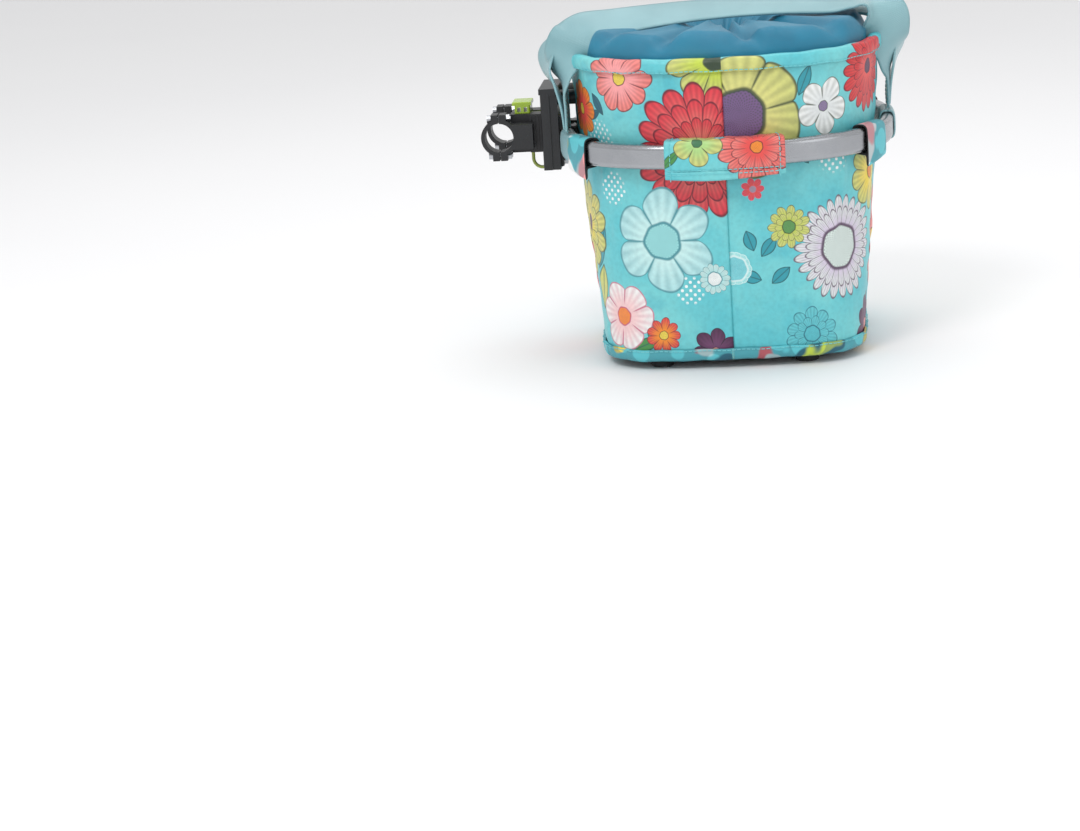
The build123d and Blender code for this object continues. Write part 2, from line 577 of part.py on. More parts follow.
# ================================================================ quick-release plate
with BuildPart() as mount_plate:
    with BuildSketch(Plane.XY.offset(PLATE_LOW)):
        with Locations(((PLATE_REAR + PLATE_FRONT) / 2, 0)):
            Rectangle(PLATE_FRONT - PLATE_REAR, 2 * PLATE_HALF)
        with Locations(((LIP_FRONT + WEB_REAR) / 2, 0)):
            Rectangle(WEB_REAR - LIP_FRONT, 2 * CHANNEL_HALF, mode=Mode.SUBTRACT)
        with Locations(((PLATE_REAR + LIP_FRONT) / 2, 0)):
            Rectangle(LIP_FRONT - PLATE_REAR, 2 * (CHANNEL_HALF - LIP_REACH), mode=Mode.SUBTRACT)
    extrude(amount=PLATE_HIGH - PLATE_LOW)
    fillet(mount_plate.edges().filter_by(Axis.Z).group_by(Axis.Y)[0], 1.5)
    fillet(mount_plate.edges().filter_by(Axis.Z).group_by(Axis.Y)[-1], 1.5)
    # The block that closes the channel's top is the stop that rests on the adapter's rail.
    block((PLATE_REAR + 1.5, WEB_REAR), (-CHANNEL_HALF, CHANNEL_HALF), (ADAPTER_HIGH + STOP_GAP, PLATE_HIGH))
    block((PLATE_REAR - 1, LIP_FRONT + 1), (-PLATE_HALF, PLATE_HALF), (PLATE_HIGH - 5, PLATE_HIGH))
    for side in SIDES.values():
        step = sorted((side * (PLATE_HALF - 1.4), side * (PLATE_HALF + 1)))
        block((WEB_REAR - 1, PLATE_FRONT + 1), step, (PLATE_LOW - 1, PLATE_HIGH - 6), mode=Mode.SUBTRACT)
    block((WEB_REAR - 1, WEB_REAR + LATCH_NOSE + 1), (-LATCH_HALF - 1, LATCH_HALF + 1),
          (PLATE_LOW - 1, LATCH_HIGH + 1.5), mode=Mode.SUBTRACT)
    for side in SIDES.values():
        rod_x((PLATE_FRONT - 1, -bag_half_x(0)), side * BACK_SCREW_Y, BACK_SCREW_Z, BOSS_RADIUS)
    add(bag_block(PLATE_LOW - 10, PLATE_HIGH + 10, LAYER_GAP), mode=Mode.SUBTRACT)
    for side in SIDES.values():
        rod_x((PLATE_FRONT + 1, -bag_half_x(0)), side * BACK_SCREW_Y, BACK_SCREW_Z,
              M5_RADIUS + LAYER_GAP, mode=Mode.SUBTRACT)
    for screw_y, screw_z in SADDLE_PLACES:
        rod_x((WEB_REAR - 1, PLATE_FRONT + 1), screw_y, screw_z, M4_RADIUS + HOLE_CLEAR, mode=Mode.SUBTRACT)
        rod_x((WEB_REAR - 1, WEB_REAR + SUNK_HEAD), screw_y, screw_z, SUNK_RADIUS + HOLE_CLEAR,
              mode=Mode.SUBTRACT)
save(mount_plate.part, "mount_plate")

# Two saddles clip the hoop's tube to the plate.
SADDLE_IN = -(hoop_end_x(SADDLE_Y + SADDLE_WIDTH / 2) - TUBE_THICK / 2) + LAYER_GAP * 3
with BuildPart() as hoop_saddles:
    with BuildSketch(Plane.XZ):
        tall = TUBE_HEIGHT / 2 + LAYER_GAP * 3
        with Locations(((PLATE_FRONT + SADDLE_IN + SADDLE_THICK) / 2, HOOP_Z)):
            Rectangle(SADDLE_IN + SADDLE_THICK - PLATE_FRONT, 2 * (tall + SADDLE_THICK))
        with Locations((PLATE_FRONT + SADDLE_THICK / 2, HOOP_Z)):
            Rectangle(SADDLE_THICK, 2 * (tall + SADDLE_THICK + SADDLE_EAR))
        with Locations(((PLATE_FRONT + SADDLE_IN) / 2, HOOP_Z)):
            Rectangle(SADDLE_IN - PLATE_FRONT, 2 * tall, mode=Mode.SUBTRACT)
    extrude(amount=SADDLE_WIDTH / 2, both=True)
    saddle = hoop_saddles.part
with BuildPart() as hoop_saddles:
    for side in SIDES.values():
        add(saddle.moved(Location((0, side * SADDLE_Y, 0))))
    for screw_y, screw_z in SADDLE_PLACES:
        rod_x((PLATE_FRONT - 1, PLATE_FRONT + SADDLE_THICK + 1), screw_y, screw_z, M4_RADIUS + HOLE_CLEAR,
              mode=Mode.SUBTRACT)
save(hoop_saddles.part, "hoop_saddles")

with BuildPart() as saddle_screws:
    for screw_y, screw_z in SADDLE_PLACES:
        rod_x((WEB_REAR + LAYER_GAP, PLATE_FRONT + SADDLE_THICK + M4_NUT + 1), screw_y, screw_z, M4_RADIUS)
        rod_x((WEB_REAR + LAYER_GAP, WEB_REAR + SUNK_HEAD - LAYER_GAP), screw_y, screw_z, SUNK_RADIUS)
    for screw_y, screw_z in SADDLE_PLACES:
        with BuildSketch(Plane.YZ.offset(WEB_REAR)):
            with Locations((screw_y, screw_z)):
                RegularPolygon(1.4, 6)
        extrude(amount=1.6, mode=Mode.SUBTRACT)
save(saddle_screws.part, "saddle_screws")


def hex_nuts(x_low, places, bore, flat_radius, height):
    """Hexagon nuts lying along X, one at each place."""
    with BuildPart() as nuts:
        with BuildSketch(Plane.YZ.offset(x_low)):
            with Locations(*places):
                RegularPolygon(flat_radius, 6)
                Circle(bore, mode=Mode.SUBTRACT)
        extrude(amount=height)
    return nuts.part


saddle_nuts = hex_nuts(PLATE_FRONT + SADDLE_THICK + LAYER_GAP / 2, SADDLE_PLACES, M4_RADIUS + LAYER_GAP / 2,
                       M4_NUT_RADIUS, M4_NUT)
save(saddle_nuts, "saddle_nuts")

# A board inside the bag spreads the plate's load over the rear wall.
with BuildPart() as back_board:
    add(bag_block(BACK_BOARD_LOW, BACK_BOARD_HIGH, -WALL_TOTAL - LAYER_GAP))
    add(bag_block(BACK_BOARD_LOW - 1, BACK_BOARD_HIGH + 1, -WALL_TOTAL - LAYER_GAP - BOARD_THICK),
        mode=Mode.SUBTRACT)
    block((-RIM_HALF_X, -RIM_HALF_X / 2), (-BACK_BOARD_HALF, BACK_BOARD_HALF),
          (BACK_BOARD_LOW, BACK_BOARD_HIGH), mode=Mode.INTERSECT)
    back_screw_holes((-RIM_HALF_X, 0))
save(back_board.part, "back_board")

HEAD_FACE = WALL_TOTAL + BOARD_THICK + 1 - bag_end_x(BACK_SCREW_Z, BACK_SCREW_Y + 2 * M5_RADIUS)
with BuildPart() as back_screws:
    for side in SIDES.values():
        rod_x((PLATE_FRONT + 2, HEAD_FACE), side * BACK_SCREW_Y, BACK_SCREW_Z, M5_RADIUS)
        rod_x((HEAD_FACE, HEAD_FACE + PAN_HEAD), side * BACK_SCREW_Y, BACK_SCREW_Z, 2 * M5_RADIUS)
    fillet(back_screws.faces().sort_by(Axis.X)[-2:].edges(), 1.2)
    with BuildSketch(Plane.YZ.offset(HEAD_FACE + PAN_HEAD)):
        with Locations((-BACK_SCREW_Y, BACK_SCREW_Z), (BACK_SCREW_Y, BACK_SCREW_Z)):
            RegularPolygon(1.9, 6)
    extrude(amount=-1.8, mode=Mode.SUBTRACT)
save(back_screws.part, "back_screws")

# ================================================================ handlebar adapter
RAIL_FRONT = WEB_REAR - RAIL_CLEAR
RAIL_REAR = RAIL_FRONT - RAIL_THICK
CLAMP_RADIUS = BAR_RADIUS + CLAMP_WALL
NECK_REAR = PLATE_REAR - NECK_LENGTH
HOUSING_REAR = BAR_X + BAR_RADIUS + 0.5
HOUSING_HALF = BUTTON_HALF + POCKET_WALL
EAR_RISE = BAR_RADIUS + EAR_WALL + M4_RADIUS
EAR_FACE = CLAMP_SPLIT / 2
EAR_PLACES = [(side * CLAMP_Y, BAR_Z + up * EAR_RISE) for side in (-1, 1) for up in (-1, 1)]
BUTTON_X1 = PLATE_REAR - BUTTON_FRONT
BUTTON_X0 = BUTTON_X1 - BUTTON_LENGTH
BUTTON_FOOT = ADAPTER_HIGH - BUTTON_SINK
POCKET_FLOOR = BUTTON_FOOT - BUTTON_TRAVEL - RAIL_CLEAR
LATCH_TIP = WEB_REAR + LATCH_NOSE
LATCH_TAIL = LATCH_TIP - LATCH_LENGTH
CHANNEL_END = LATCH_TAIL - 2 * LATCH_TRAVEL
CAM_SLOPE = LATCH_TRAVEL / BUTTON_TRAVEL
WINDOW_REAR = LATCH_TAIL + LATCH_WALL
CAM_FRONT = WINDOW_REAR + CAM_THICK
WINDOW_FRONT = CAM_FRONT + LATCH_TRAVEL + BUTTON_CLEAR
SPRING_X = (BUTTON_X0 + BUTTON_X1) / 2
SPRING_FLOOR = LATCH_LOW + 3
LATCH_MID = (LATCH_LOW + LATCH_HIGH) / 2
CABLE_BACK_X = PLATE_REAR - CABLE_LEG_BACK
CABLE_FRONT_X = (RAIL_FRONT + RAIL_REAR) / 2
CABLE_SOCKET = 4.0


def clamp_half(side, towards):
    """Half of one handlebar clamp: towards is 1 for the half on the body, -1 for the cap."""
    y_span = (side * CLAMP_Y - CLAMP_WIDTH / 2, side * CLAMP_Y + CLAMP_WIDTH / 2)
    near = BAR_X + towards * EAR_FACE
    with BuildPart() as half:
        rod_y(BAR_X, y_span, BAR_Z, CLAMP_RADIUS)
        ear_x = sorted((near, near + towards * EAR_THICK))
        block(ear_x, y_span, (BAR_Z - EAR_RISE - EAR_EDGE, BAR_Z + EAR_RISE + EAR_EDGE))
        keep = sorted((near, near + towards * 2 * CLAMP_RADIUS))
        block(keep, y_span, (BAR_Z - 2 * CLAMP_RADIUS, BAR_Z + 2 * CLAMP_RADIUS), mode=Mode.INTERSECT)
        rod_y(BAR_X, (y_span[0] - 1, y_span[1] + 1), BAR_Z, BAR_RADIUS, mode=Mode.SUBTRACT)
        for up in (-1, 1):
            rod_x((BAR_X - 20, BAR_X + 20), side * CLAMP_Y, BAR_Z + up * EAR_RISE, M4_RADIUS + HOLE_CLEAR,
                  mode=Mode.SUBTRACT)
            seat = sorted((near + towards * EAR_THICK, near + towards * 2 * CLAMP_RADIUS))
            rod_x(seat, side * CLAMP_Y, BAR_Z + up * EAR_RISE, M4_NUT_RADIUS + HOLE_CLEAR, mode=Mode.SUBTRACT)
    return half.part


with BuildPart() as adapter_body:
    block((RAIL_REAR, RAIL_FRONT), (-RAIL_HALF, RAIL_HALF), (ADAPTER_LOW, ADAPTER_HIGH))
    block((NECK_REAR, RAIL_REAR), (-NECK_HALF, NECK_HALF), (ADAPTER_LOW, ADAPTER_HIGH))
    block((HOUSING_REAR - 4, NECK_REAR), (-HOUSING_HALF, HOUSING_HALF), (ADAPTER_LOW, ADAPTER_HIGH))
    # Ribs down the neck's sides stiffen it and catch the light.
    for rib in range(4):
        rib_x = RAIL_REAR - 4.5 - 3.2 * rib
        for side in SIDES.values():
            span = sorted((side * (NECK_HALF - 1), side * (NECK_HALF + 1.2)))
            block((rib_x - 0.8, rib_x + 0.8), span, (ADAPTER_LOW + 2, ADAPTER_HIGH - 2))
    for side in SIDES.values():
        add(clamp_half(side, 1))
        arm = (side * CLAMP_Y - CLAMP_WIDTH / 2, side * CLAMP_Y + CLAMP_WIDTH / 2)
        block((BAR_X + BAR_RADIUS - 2, NECK_REAR + 4), arm, (BAR_Z - ARM_HALF, BAR_Z + ARM_HALF))
    rod_y(BAR_X, (-60, 60), BAR_Z, BAR_RADIUS, mode=Mode.SUBTRACT)
    block((BUTTON_X0 - BUTTON_CLEAR, BUTTON_X1 + BUTTON_CLEAR),
          (-BUTTON_HALF - BUTTON_CLEAR, BUTTON_HALF + BUTTON_CLEAR), (POCKET_FLOOR, ADAPTER_HIGH + 1),
          mode=Mode.SUBTRACT)
    rod_z(SPRING_X, 0, (SPRING_FLOOR, POCKET_FLOOR + 1), SPRING_RADIUS + 2 * SPRING_WIRE, mode=Mode.SUBTRACT)
    block((BUTTON_X1 - 1, CAM_FRONT + BUTTON_CLEAR), (-CAM_HALF - BUTTON_CLEAR, CAM_HALF + BUTTON_CLEAR),
          (LATCH_HIGH - 1, ADAPTER_HIGH + 1), mode=Mode.SUBTRACT)
    block((CHANNEL_END, RAIL_FRONT + 1), (-LATCH_HALF - HOLE_CLEAR, LATCH_HALF + HOLE_CLEAR),
          (LATCH_LOW - HOLE_CLEAR, LATCH_HIGH + HOLE_CLEAR), mode=Mode.SUBTRACT)
    for cable_x in (CABLE_BACK_X, CABLE_FRONT_X):
        rod_z(cable_x, CABLE_Y, (ADAPTER_LOW - 1, ADAPTER_LOW + CABLE_SOCKET), CABLE_RADIUS + LAYER_GAP / 2,
              mode=Mode.SUBTRACT)
save(adapter_body.part, "adapter_body")

for side_name, side in SIDES.items():
    with BuildPart() as clamp_cap:
        add(clamp_half(side, -1))
    save(clamp_cap.part, f"clamp_cap_{side_name}")

with BuildPart() as clamp_screws:
    head_x = BAR_X - EAR_FACE - EAR_THICK
    for ear_y, ear_z in EAR_PLACES:
        rod_x((head_x, BAR_X + EAR_FACE + EAR_THICK + M4_NUT + 1), ear_y, ear_z, M4_RADIUS)
        rod_x((head_x - CAP_HEAD, head_x), ear_y, ear_z, 1.75 * M4_RADIUS)
    with BuildSketch(Plane.YZ.offset(head_x - CAP_HEAD)):
        with Locations(*EAR_PLACES):
            RegularPolygon(1.7, 6)
    extrude(amount=2.2, mode=Mode.SUBTRACT)
save(clamp_screws.part, "clamp_screws")

clamp_nuts = hex_nuts(BAR_X + EAR_FACE + EAR_THICK + LAYER_GAP / 2, EAR_PLACES, M4_RADIUS + LAYER_GAP / 2,
                      M4_NUT_RADIUS, M4_NUT)
save(clamp_nuts, "clamp_nuts")

# Pressing the button down drives a cam through the latch's window and draws its nose back.
with BuildPart() as release_button:
    button_top = ADAPTER_HIGH + BUTTON_RISE
    block((BUTTON_X0, BUTTON_X1), (-BUTTON_HALF, BUTTON_HALF), (BUTTON_FOOT, button_top))
    fillet(release_button.edges().filter_by(Axis.Z), 1.5)
    block((BUTTON_X0 - 2, BUTTON_X1 + 1), (-BUTTON_HALF, BUTTON_HALF), (button_top - 3.2, button_top))
    fillet(release_button.edges().group_by(Axis.Z)[-1], 0.8)
    for window_x in (BUTTON_X0 + 4, BUTTON_X1 - 4.2):
        block((window_x - 1.5, window_x + 1.5), (-BUTTON_HALF - 1, BUTTON_HALF + 1),
              (ADAPTER_HIGH + 1.2, ADAPTER_HIGH + 5.2), mode=Mode.SUBTRACT)
    cam_low = LATCH_HIGH - 1
    cam_rear = WINDOW_REAR + BUTTON_CLEAR
    with BuildSketch(Plane.XZ):
        with BuildLine():
            Polyline((CAM_FRONT, cam_low), (cam_rear + CAM_SLOPE, cam_low),
                     (cam_rear - CAM_SLOPE * (BUTTON_FOOT - LATCH_HIGH), BUTTON_FOOT),
                     (BUTTON_X1 - 1, BUTTON_FOOT), (BUTTON_X1 - 1, ADAPTER_HIGH - 0.8),
                     (CAM_FRONT, ADAPTER_HIGH - 0.8), close=True)
        make_face()
    extrude(amount=CAM_HALF, both=True)
save(release_button.part, "release_button")

with BuildPart() as latch:
    block((LATCH_TAIL, LATCH_TIP), (-LATCH_HALF, LATCH_HALF), (LATCH_LOW, LATCH_HIGH))
    chamfer(latch.edges().filter_by(Axis.Y).group_by(Axis.X)[-1].sort_by(Axis.Z)[0], 2)
    block((WINDOW_REAR, WINDOW_FRONT), (-CAM_HALF - BUTTON_CLEAR, CAM_HALF + BUTTON_CLEAR),
          (LATCH_LOW - 1, LATCH_HIGH + 1), mode=Mode.SUBTRACT)
save(latch.part, "latch")


def coil_spring(length, turns, plane):
    """A helical spring whose wire lies between two flat ends."""
    wire_path = Helix(pitch=(length - SPRING_WIRE) / turns, height=length - SPRING_WIRE, radius=SPRING_RADIUS)
    with BuildPart() as coil:
        with BuildSketch(Plane(origin=wire_path @ 0, z_dir=wire_path % 0)):
            Circle(SPRING_WIRE / 2)
        sweep(path=wire_path, is_frenet=True)
    return plane.location * Location((0, 0, SPRING_WIRE / 2)) * coil.part


button_spring = coil_spring(BUTTON_FOOT - SPRING_FLOOR - 2 * LAYER_GAP, 6,
                            Plane((SPRING_X, 0, SPRING_FLOOR + LAYER_GAP)))
save(button_spring, "button_spring")
latch_spring = coil_spring(LATCH_TAIL - CHANNEL_END - 2 * LAYER_GAP, 4,
                           Plane(origin=(CHANNEL_END + LAYER_GAP, 0, LATCH_MID), x_dir=(0, 1, 0), z_dir=(1, 0, 0)))
save(latch_spring, "latch_spring")

# A plastic-covered safety cable loops down out of the adapter's underside.
with BuildPart() as safety_cable:
    leg_top = ADAPTER_LOW + CABLE_SOCKET - LAYER_GAP
    turn = (CABLE_FRONT_X - CABLE_BACK_X) / 2
    turn_z = ADAPTER_LOW - CABLE_DROP + turn
    with BuildLine(Plane.XZ.offset(-CABLE_Y)) as cable_run:
        Line((CABLE_BACK_X, leg_top), (CABLE_BACK_X, turn_z))
        ThreePointArc((CABLE_BACK_X, turn_z), (CABLE_BACK_X + turn, turn_z - turn), (CABLE_FRONT_X, turn_z))
        Line((CABLE_FRONT_X, turn_z), (CABLE_FRONT_X, leg_top))
    with BuildSketch(Plane(origin=(CABLE_BACK_X, CABLE_Y, leg_top), z_dir=(0, 0, -1))):
        Circle(CABLE_RADIUS)
    sweep(path=cable_run.line)
save(safety_cable.part, "safety_cable")
cable_length = sum(edge.length for edge in cable_run.edges())
print("cable turn radius", round(turn, 2), "length", round(cable_length, 1))
print("hoop half", round(HOOP_HALF_X, 2), round(HOOP_HALF_Y, 2), "plate rear", round(PLATE_REAR, 2),
      "handlebar", round(BAR_X, 2), "strap top", STRAP_TOP, "crest", CREST_Z)
print("springs stand on", SPRING_FLOOR + LAYER_GAP, round(CHANNEL_END + LAYER_GAP, 2))
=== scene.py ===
# %% [markdown]
# # A handlebar basket
# This notebook dresses the CAD model of a handlebar basket: a soft printed bag in an oval
# hoop, with a drawn-up collar, a webbing strap and a quick-release mount. The frame gives
# each rigid part its place. Cloth parts are drawn here as sheets, and each piece then rides
# on the body that carries it. Lengths are in metres; +X is forwards and +Z is up.

# %% Set up
import json
from math import cos, pi, radians, sin

import bpy
import numpy as np
from mathutils import Matrix, Vector

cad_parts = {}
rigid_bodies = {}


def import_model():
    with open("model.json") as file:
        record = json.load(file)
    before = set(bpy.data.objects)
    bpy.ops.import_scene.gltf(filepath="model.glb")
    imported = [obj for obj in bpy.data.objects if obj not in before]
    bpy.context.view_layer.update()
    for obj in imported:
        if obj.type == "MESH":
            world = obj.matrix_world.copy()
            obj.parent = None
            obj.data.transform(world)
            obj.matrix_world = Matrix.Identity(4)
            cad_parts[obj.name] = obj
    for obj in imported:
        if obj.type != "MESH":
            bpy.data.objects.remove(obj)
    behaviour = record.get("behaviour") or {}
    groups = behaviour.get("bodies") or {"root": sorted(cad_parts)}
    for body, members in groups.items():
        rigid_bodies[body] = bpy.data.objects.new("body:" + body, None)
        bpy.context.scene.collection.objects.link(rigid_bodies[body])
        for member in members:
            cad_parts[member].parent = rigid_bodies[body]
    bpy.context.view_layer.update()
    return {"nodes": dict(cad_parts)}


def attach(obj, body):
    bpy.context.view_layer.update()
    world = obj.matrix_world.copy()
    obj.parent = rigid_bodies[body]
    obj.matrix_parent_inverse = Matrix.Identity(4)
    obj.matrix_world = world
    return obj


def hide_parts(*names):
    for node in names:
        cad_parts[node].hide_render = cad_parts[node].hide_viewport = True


for stray in list(bpy.data.objects):
    bpy.data.objects.remove(stray)
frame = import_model()
nodes = frame["nodes"]
rng = np.random.default_rng(7)

# %% [markdown]
# ## The bag's plan
# At each height the bag is a rounded rectangle whose four sides bow out. It could be a bevelled
# box that is scaled as it rises, but then the corners would change with the scale. `plan` works
# the outline out from its radii instead, and walks round it from the middle of the right side,
# which is where the canvas has its seam.

# %% Plan of the bag
BAG_TOP = 0.260
HOOP_Z = 0.181
# Each plan holds half its length, half its width, the bow of each, and the corner radius.
BASE = (0.114, 0.118, 0.005, 0.008, 0.050)
WAIST = (0.130, 0.1325, 0.024, 0.030, 0.104)
RIM = (0.1345, 0.138, 0.024, 0.030, 0.104)
TUBE_OUT = 0.0115  # from the bag's wall to the tube's centreline
TUBE_X, TUBE_Y = 0.1415, 0.144  # from the middle to the tube's centreline


def level(z):
    """The plan's five sizes at height z."""
    low, high, share = (BASE, WAIST, z / HOOP_Z)
    if z > HOOP_Z:
        low, high, share = WAIST, RIM, (z - HOOP_Z) / (BAG_TOP - HOOP_Z)
    return [a + (b - a) * share for a, b in zip(low, high)]


def outline(sizes, grow=0.0, count=240):
    """Points evenly spaced round a bowed, rounded rectangle, from the middle of its right side."""
    half_x, half_y, bow_x, bow_y, corner = sizes
    radius_x = ((half_y - bow_y) ** 2 + bow_x ** 2) / (2 * bow_x)
    radius_y = ((half_x - bow_x) ** 2 + bow_y ** 2) / (2 * bow_y)
    mid_x, mid_y = half_x - radius_x, half_y - radius_y
    in_x, in_y = radius_x - corner, radius_y - corner
    gap = np.hypot(mid_x, mid_y)
    along = (in_x ** 2 - in_y ** 2 + gap ** 2) / (2 * gap)
    off = np.sqrt(max(0.0, in_x ** 2 - along ** 2))
    step = np.array([-mid_x, mid_y]) / gap
    knee = np.array([mid_x, 0]) + along * step + off * np.array([abs(step[1]), abs(step[0])])
    points = []
    for angle in np.linspace(0, 2 * pi, 1440, endpoint=False) - pi / 2:
        way = np.array([cos(angle), sin(angle)])
        sign = np.where(way >= 0, 1.0, -1.0)
        flat = np.abs(way)
        end = np.array([mid_x, 0]) + in_x * flat
        side = np.array([0, mid_y]) + in_y * flat
        core = knee
        if end[0] ** 2 + (end[1] - mid_y) ** 2 <= in_y ** 2:
            core = end
        elif (side[0] - mid_x) ** 2 + side[1] ** 2 <= in_x ** 2:
            core = side
        points.append((core + (corner + grow) * flat) * sign)
    points = np.array(points + points[:1])
    run = np.r_[0, np.cumsum(np.hypot(*np.diff(points, axis=0).T))]
    spots = np.linspace(0, run[-1], count, endpoint=False)
    return np.c_[np.interp(spots, run, points[:, 0]), np.interp(spots, run, points[:, 1])], run[-1]


def plan(z, grow=0.0, count=240):
    """The bag's outline at height z, pushed out by grow, and its length."""
    return outline(level(z), grow, count)


def hoop_line(grow=0.0, count=720):
    """The line of the tube's middle, which bows and turns as the bag does beside it."""
    bow_x, bow_y, corner = WAIST[2:]
    return outline((TUBE_X, TUBE_Y, bow_x, bow_y, corner + TUBE_OUT), grow, count)


_, LENGTH = plan(HOOP_Z)
print("round the bag at the hoop:", round(LENGTH, 3), "m")

# %% [markdown]
# ## Meshes from grids
# Nearly every cloth part is a grid of points with a texture coordinate at each one. A plane
# with a Solidify modifier would do the same. Writing both faces and the edges out lets each
# have its own material, such as black lining inside printed cloth.

# %% Grid and sheet
def mesh_object(name, verts, faces, uvs=None, materials=(), index=None):
    """A mesh object, with one texture coordinate a point and one material index a face."""
    mesh = bpy.data.meshes.new(name)
    mesh.from_pydata([tuple(v) for v in verts], [], [tuple(f) for f in faces])
    if uvs is not None:
        layer = mesh.uv_layers.new(name="print")
        loops = np.empty(len(mesh.loops), dtype=np.int64)
        mesh.loops.foreach_get("vertex_index", loops)
        layer.data.foreach_set("uv", np.asarray(uvs, dtype=float)[loops].ravel())
    for material in materials:
        mesh.materials.append(material)
    if index is not None:
        mesh.polygons.foreach_set("material_index", np.asarray(index, dtype=np.int32))
    mesh.polygons.foreach_set("use_smooth", [True] * len(mesh.polygons))
    mesh.update()
    piece = bpy.data.objects.new(name, mesh)
    bpy.context.scene.collection.objects.link(piece)
    return piece


def grid_faces(rows, cols, closed=False, start=0, flip=False):
    """The quads of a grid of points, numbered row by row from start."""
    faces = []
    for r in range(rows - 1):
        for c in range(cols if closed else cols - 1):
            n = (c + 1) % cols
            quad = (start + r * cols + c, start + r * cols + n,
                    start + (r + 1) * cols + n, start + (r + 1) * cols + c)
            faces.append(quad[::-1] if flip else quad)
    return faces


def normals_of(grid, closed):
    """Unit normals of a grid of points, rows by columns by 3, facing outwards for our grids."""
    if closed:
        across = np.roll(grid, -1, axis=1) - np.roll(grid, 1, axis=1)
    else:
        across = np.gradient(grid, axis=1)
    along = np.gradient(grid, axis=0)
    normal = np.cross(across, along)
    return normal / np.maximum(np.linalg.norm(normal, axis=2, keepdims=True), 1e-12)


def cloth(name, grid, uv, thick, materials, closed=False, inner=0, rim=0):
    """A closed sheet of cloth from a grid: its outer face, its inner face and its edges."""
    rows, cols = grid.shape[:2]
    back = grid - normals_of(grid, closed) * thick
    count = rows * cols
    faces = grid_faces(rows, cols, closed)
    index = [0] * len(faces)
    inside = grid_faces(rows, cols, closed, count, flip=True)
    faces += inside
    index += [inner] * len(inside)
    edges = []
    for c in range(cols if closed else cols - 1):
        n = (c + 1) % cols
        top = (rows - 1) * cols
        edges.append((count + c, count + n, n, c))
        edges.append((top + c, top + n, count + top + n, count + top + c))
    if not closed:
        for r in range(rows - 1):
            a, b = r * cols, (r + 1) * cols
            edges.append((a, b, count + b, count + a))
            a, b = a + cols - 1, b + cols - 1
            edges.append((b, a, count + a, count + b))
    faces += edges
    index += [rim] * len(edges)
    verts = np.concatenate([grid.reshape(-1, 3), back.reshape(-1, 3)])
    uvs = np.concatenate([uv.reshape(-1, 2)] * 2)
    return mesh_object(name, verts, faces, uvs, materials, index)


def smooth_step(low, high, x):
    """0 below low and 1 above high, with an easy change between."""
    t = np.clip((x - low) / (high - low), 0, 1)
    return t * t * (3 - 2 * t)


def bump(x, centre, width):
    """A bell of height 1 round centre."""
    return np.exp(-((x - centre) / width) ** 2)


def spline(keys, spots):
    """A smooth curve through rows of keys, read at spots from 0 to the last key."""
    keys = np.asarray(keys, dtype=float)
    spots = np.asarray(spots, dtype=float)
    k = np.clip(spots.astype(int), 0, len(keys) - 2)
    t = (spots - k)[:, None]
    p1, p2 = keys[k], keys[k + 1]
    p0 = np.where((k > 0)[:, None], keys[np.maximum(k - 1, 0)], 2 * p1 - p2)
    p3 = np.where((k < len(keys) - 2)[:, None], keys[np.minimum(k + 2, len(keys) - 1)], 2 * p2 - p1)
    return 0.5 * (2 * p1 + (p2 - p0) * t + (2 * p0 - 5 * p1 + 4 * p2 - p3) * t ** 2
                  + (3 * p1 - p0 - 3 * p2 + p3) * t ** 3)


# %% [markdown]
# ## Writing shaders as sums
# `S` wraps a number inside a shader, so a pattern reads like ordinary arithmetic. Placing each
# Math node by hand would hide the formula in the wiring. Vectors and colours go through Vector
# Math and Mix.

# %% Shader arithmetic
class S:
    """A value in a node tree, with operators."""

    def __init__(self, tree, socket):
        self.tree, self.socket = tree, socket

    def math(self, operation, *others):
        node = self.tree.nodes.new("ShaderNodeMath")
        node.operation = operation
        for place, value in enumerate((self, *others)):
            if isinstance(value, S):
                self.tree.links.new(value.socket, node.inputs[place])
            else:
                node.inputs[place].default_value = float(value)
        return S(self.tree, node.outputs[0])

    def __add__(self, other):
        return self.math("ADD", other)

    __radd__ = __add__

    def __sub__(self, other):
        return self.math("SUBTRACT", other)

    def __rsub__(self, other):
        return self.math("MULTIPLY_ADD", -1.0, other)

    def __mul__(self, other):
        return self.math("MULTIPLY", other)

    __rmul__ = __mul__

    def __truediv__(self, other):
        return self.math("DIVIDE", other)

    def __pow__(self, other):
        return self.math("POWER", other)

    def sin(self):
        return self.math("SINE")

    def abs(self):
        return self.math("ABSOLUTE")

    def over(self, low, high):
        """0 below low and 1 above high, with a smooth change between."""
        node = self.tree.nodes.new("ShaderNodeMapRange")
        node.interpolation_type = "SMOOTHSTEP"
        self.tree.links.new(self.socket, node.inputs["Value"])
        for key, value in (("From Min", low), ("From Max", high)):
            if isinstance(value, S):
                self.tree.links.new(value.socket, node.inputs[key])
            else:
                node.inputs[key].default_value = value
        return S(self.tree, node.outputs["Result"])


def linear(rgb):
    """A colour as 0-255 screen values, turned into what shaders use."""
    return tuple(c / 12.92 if c <= 0.04045 else ((c + 0.055) / 1.055) ** 2.4
                 for c in (value / 255 for value in rgb))


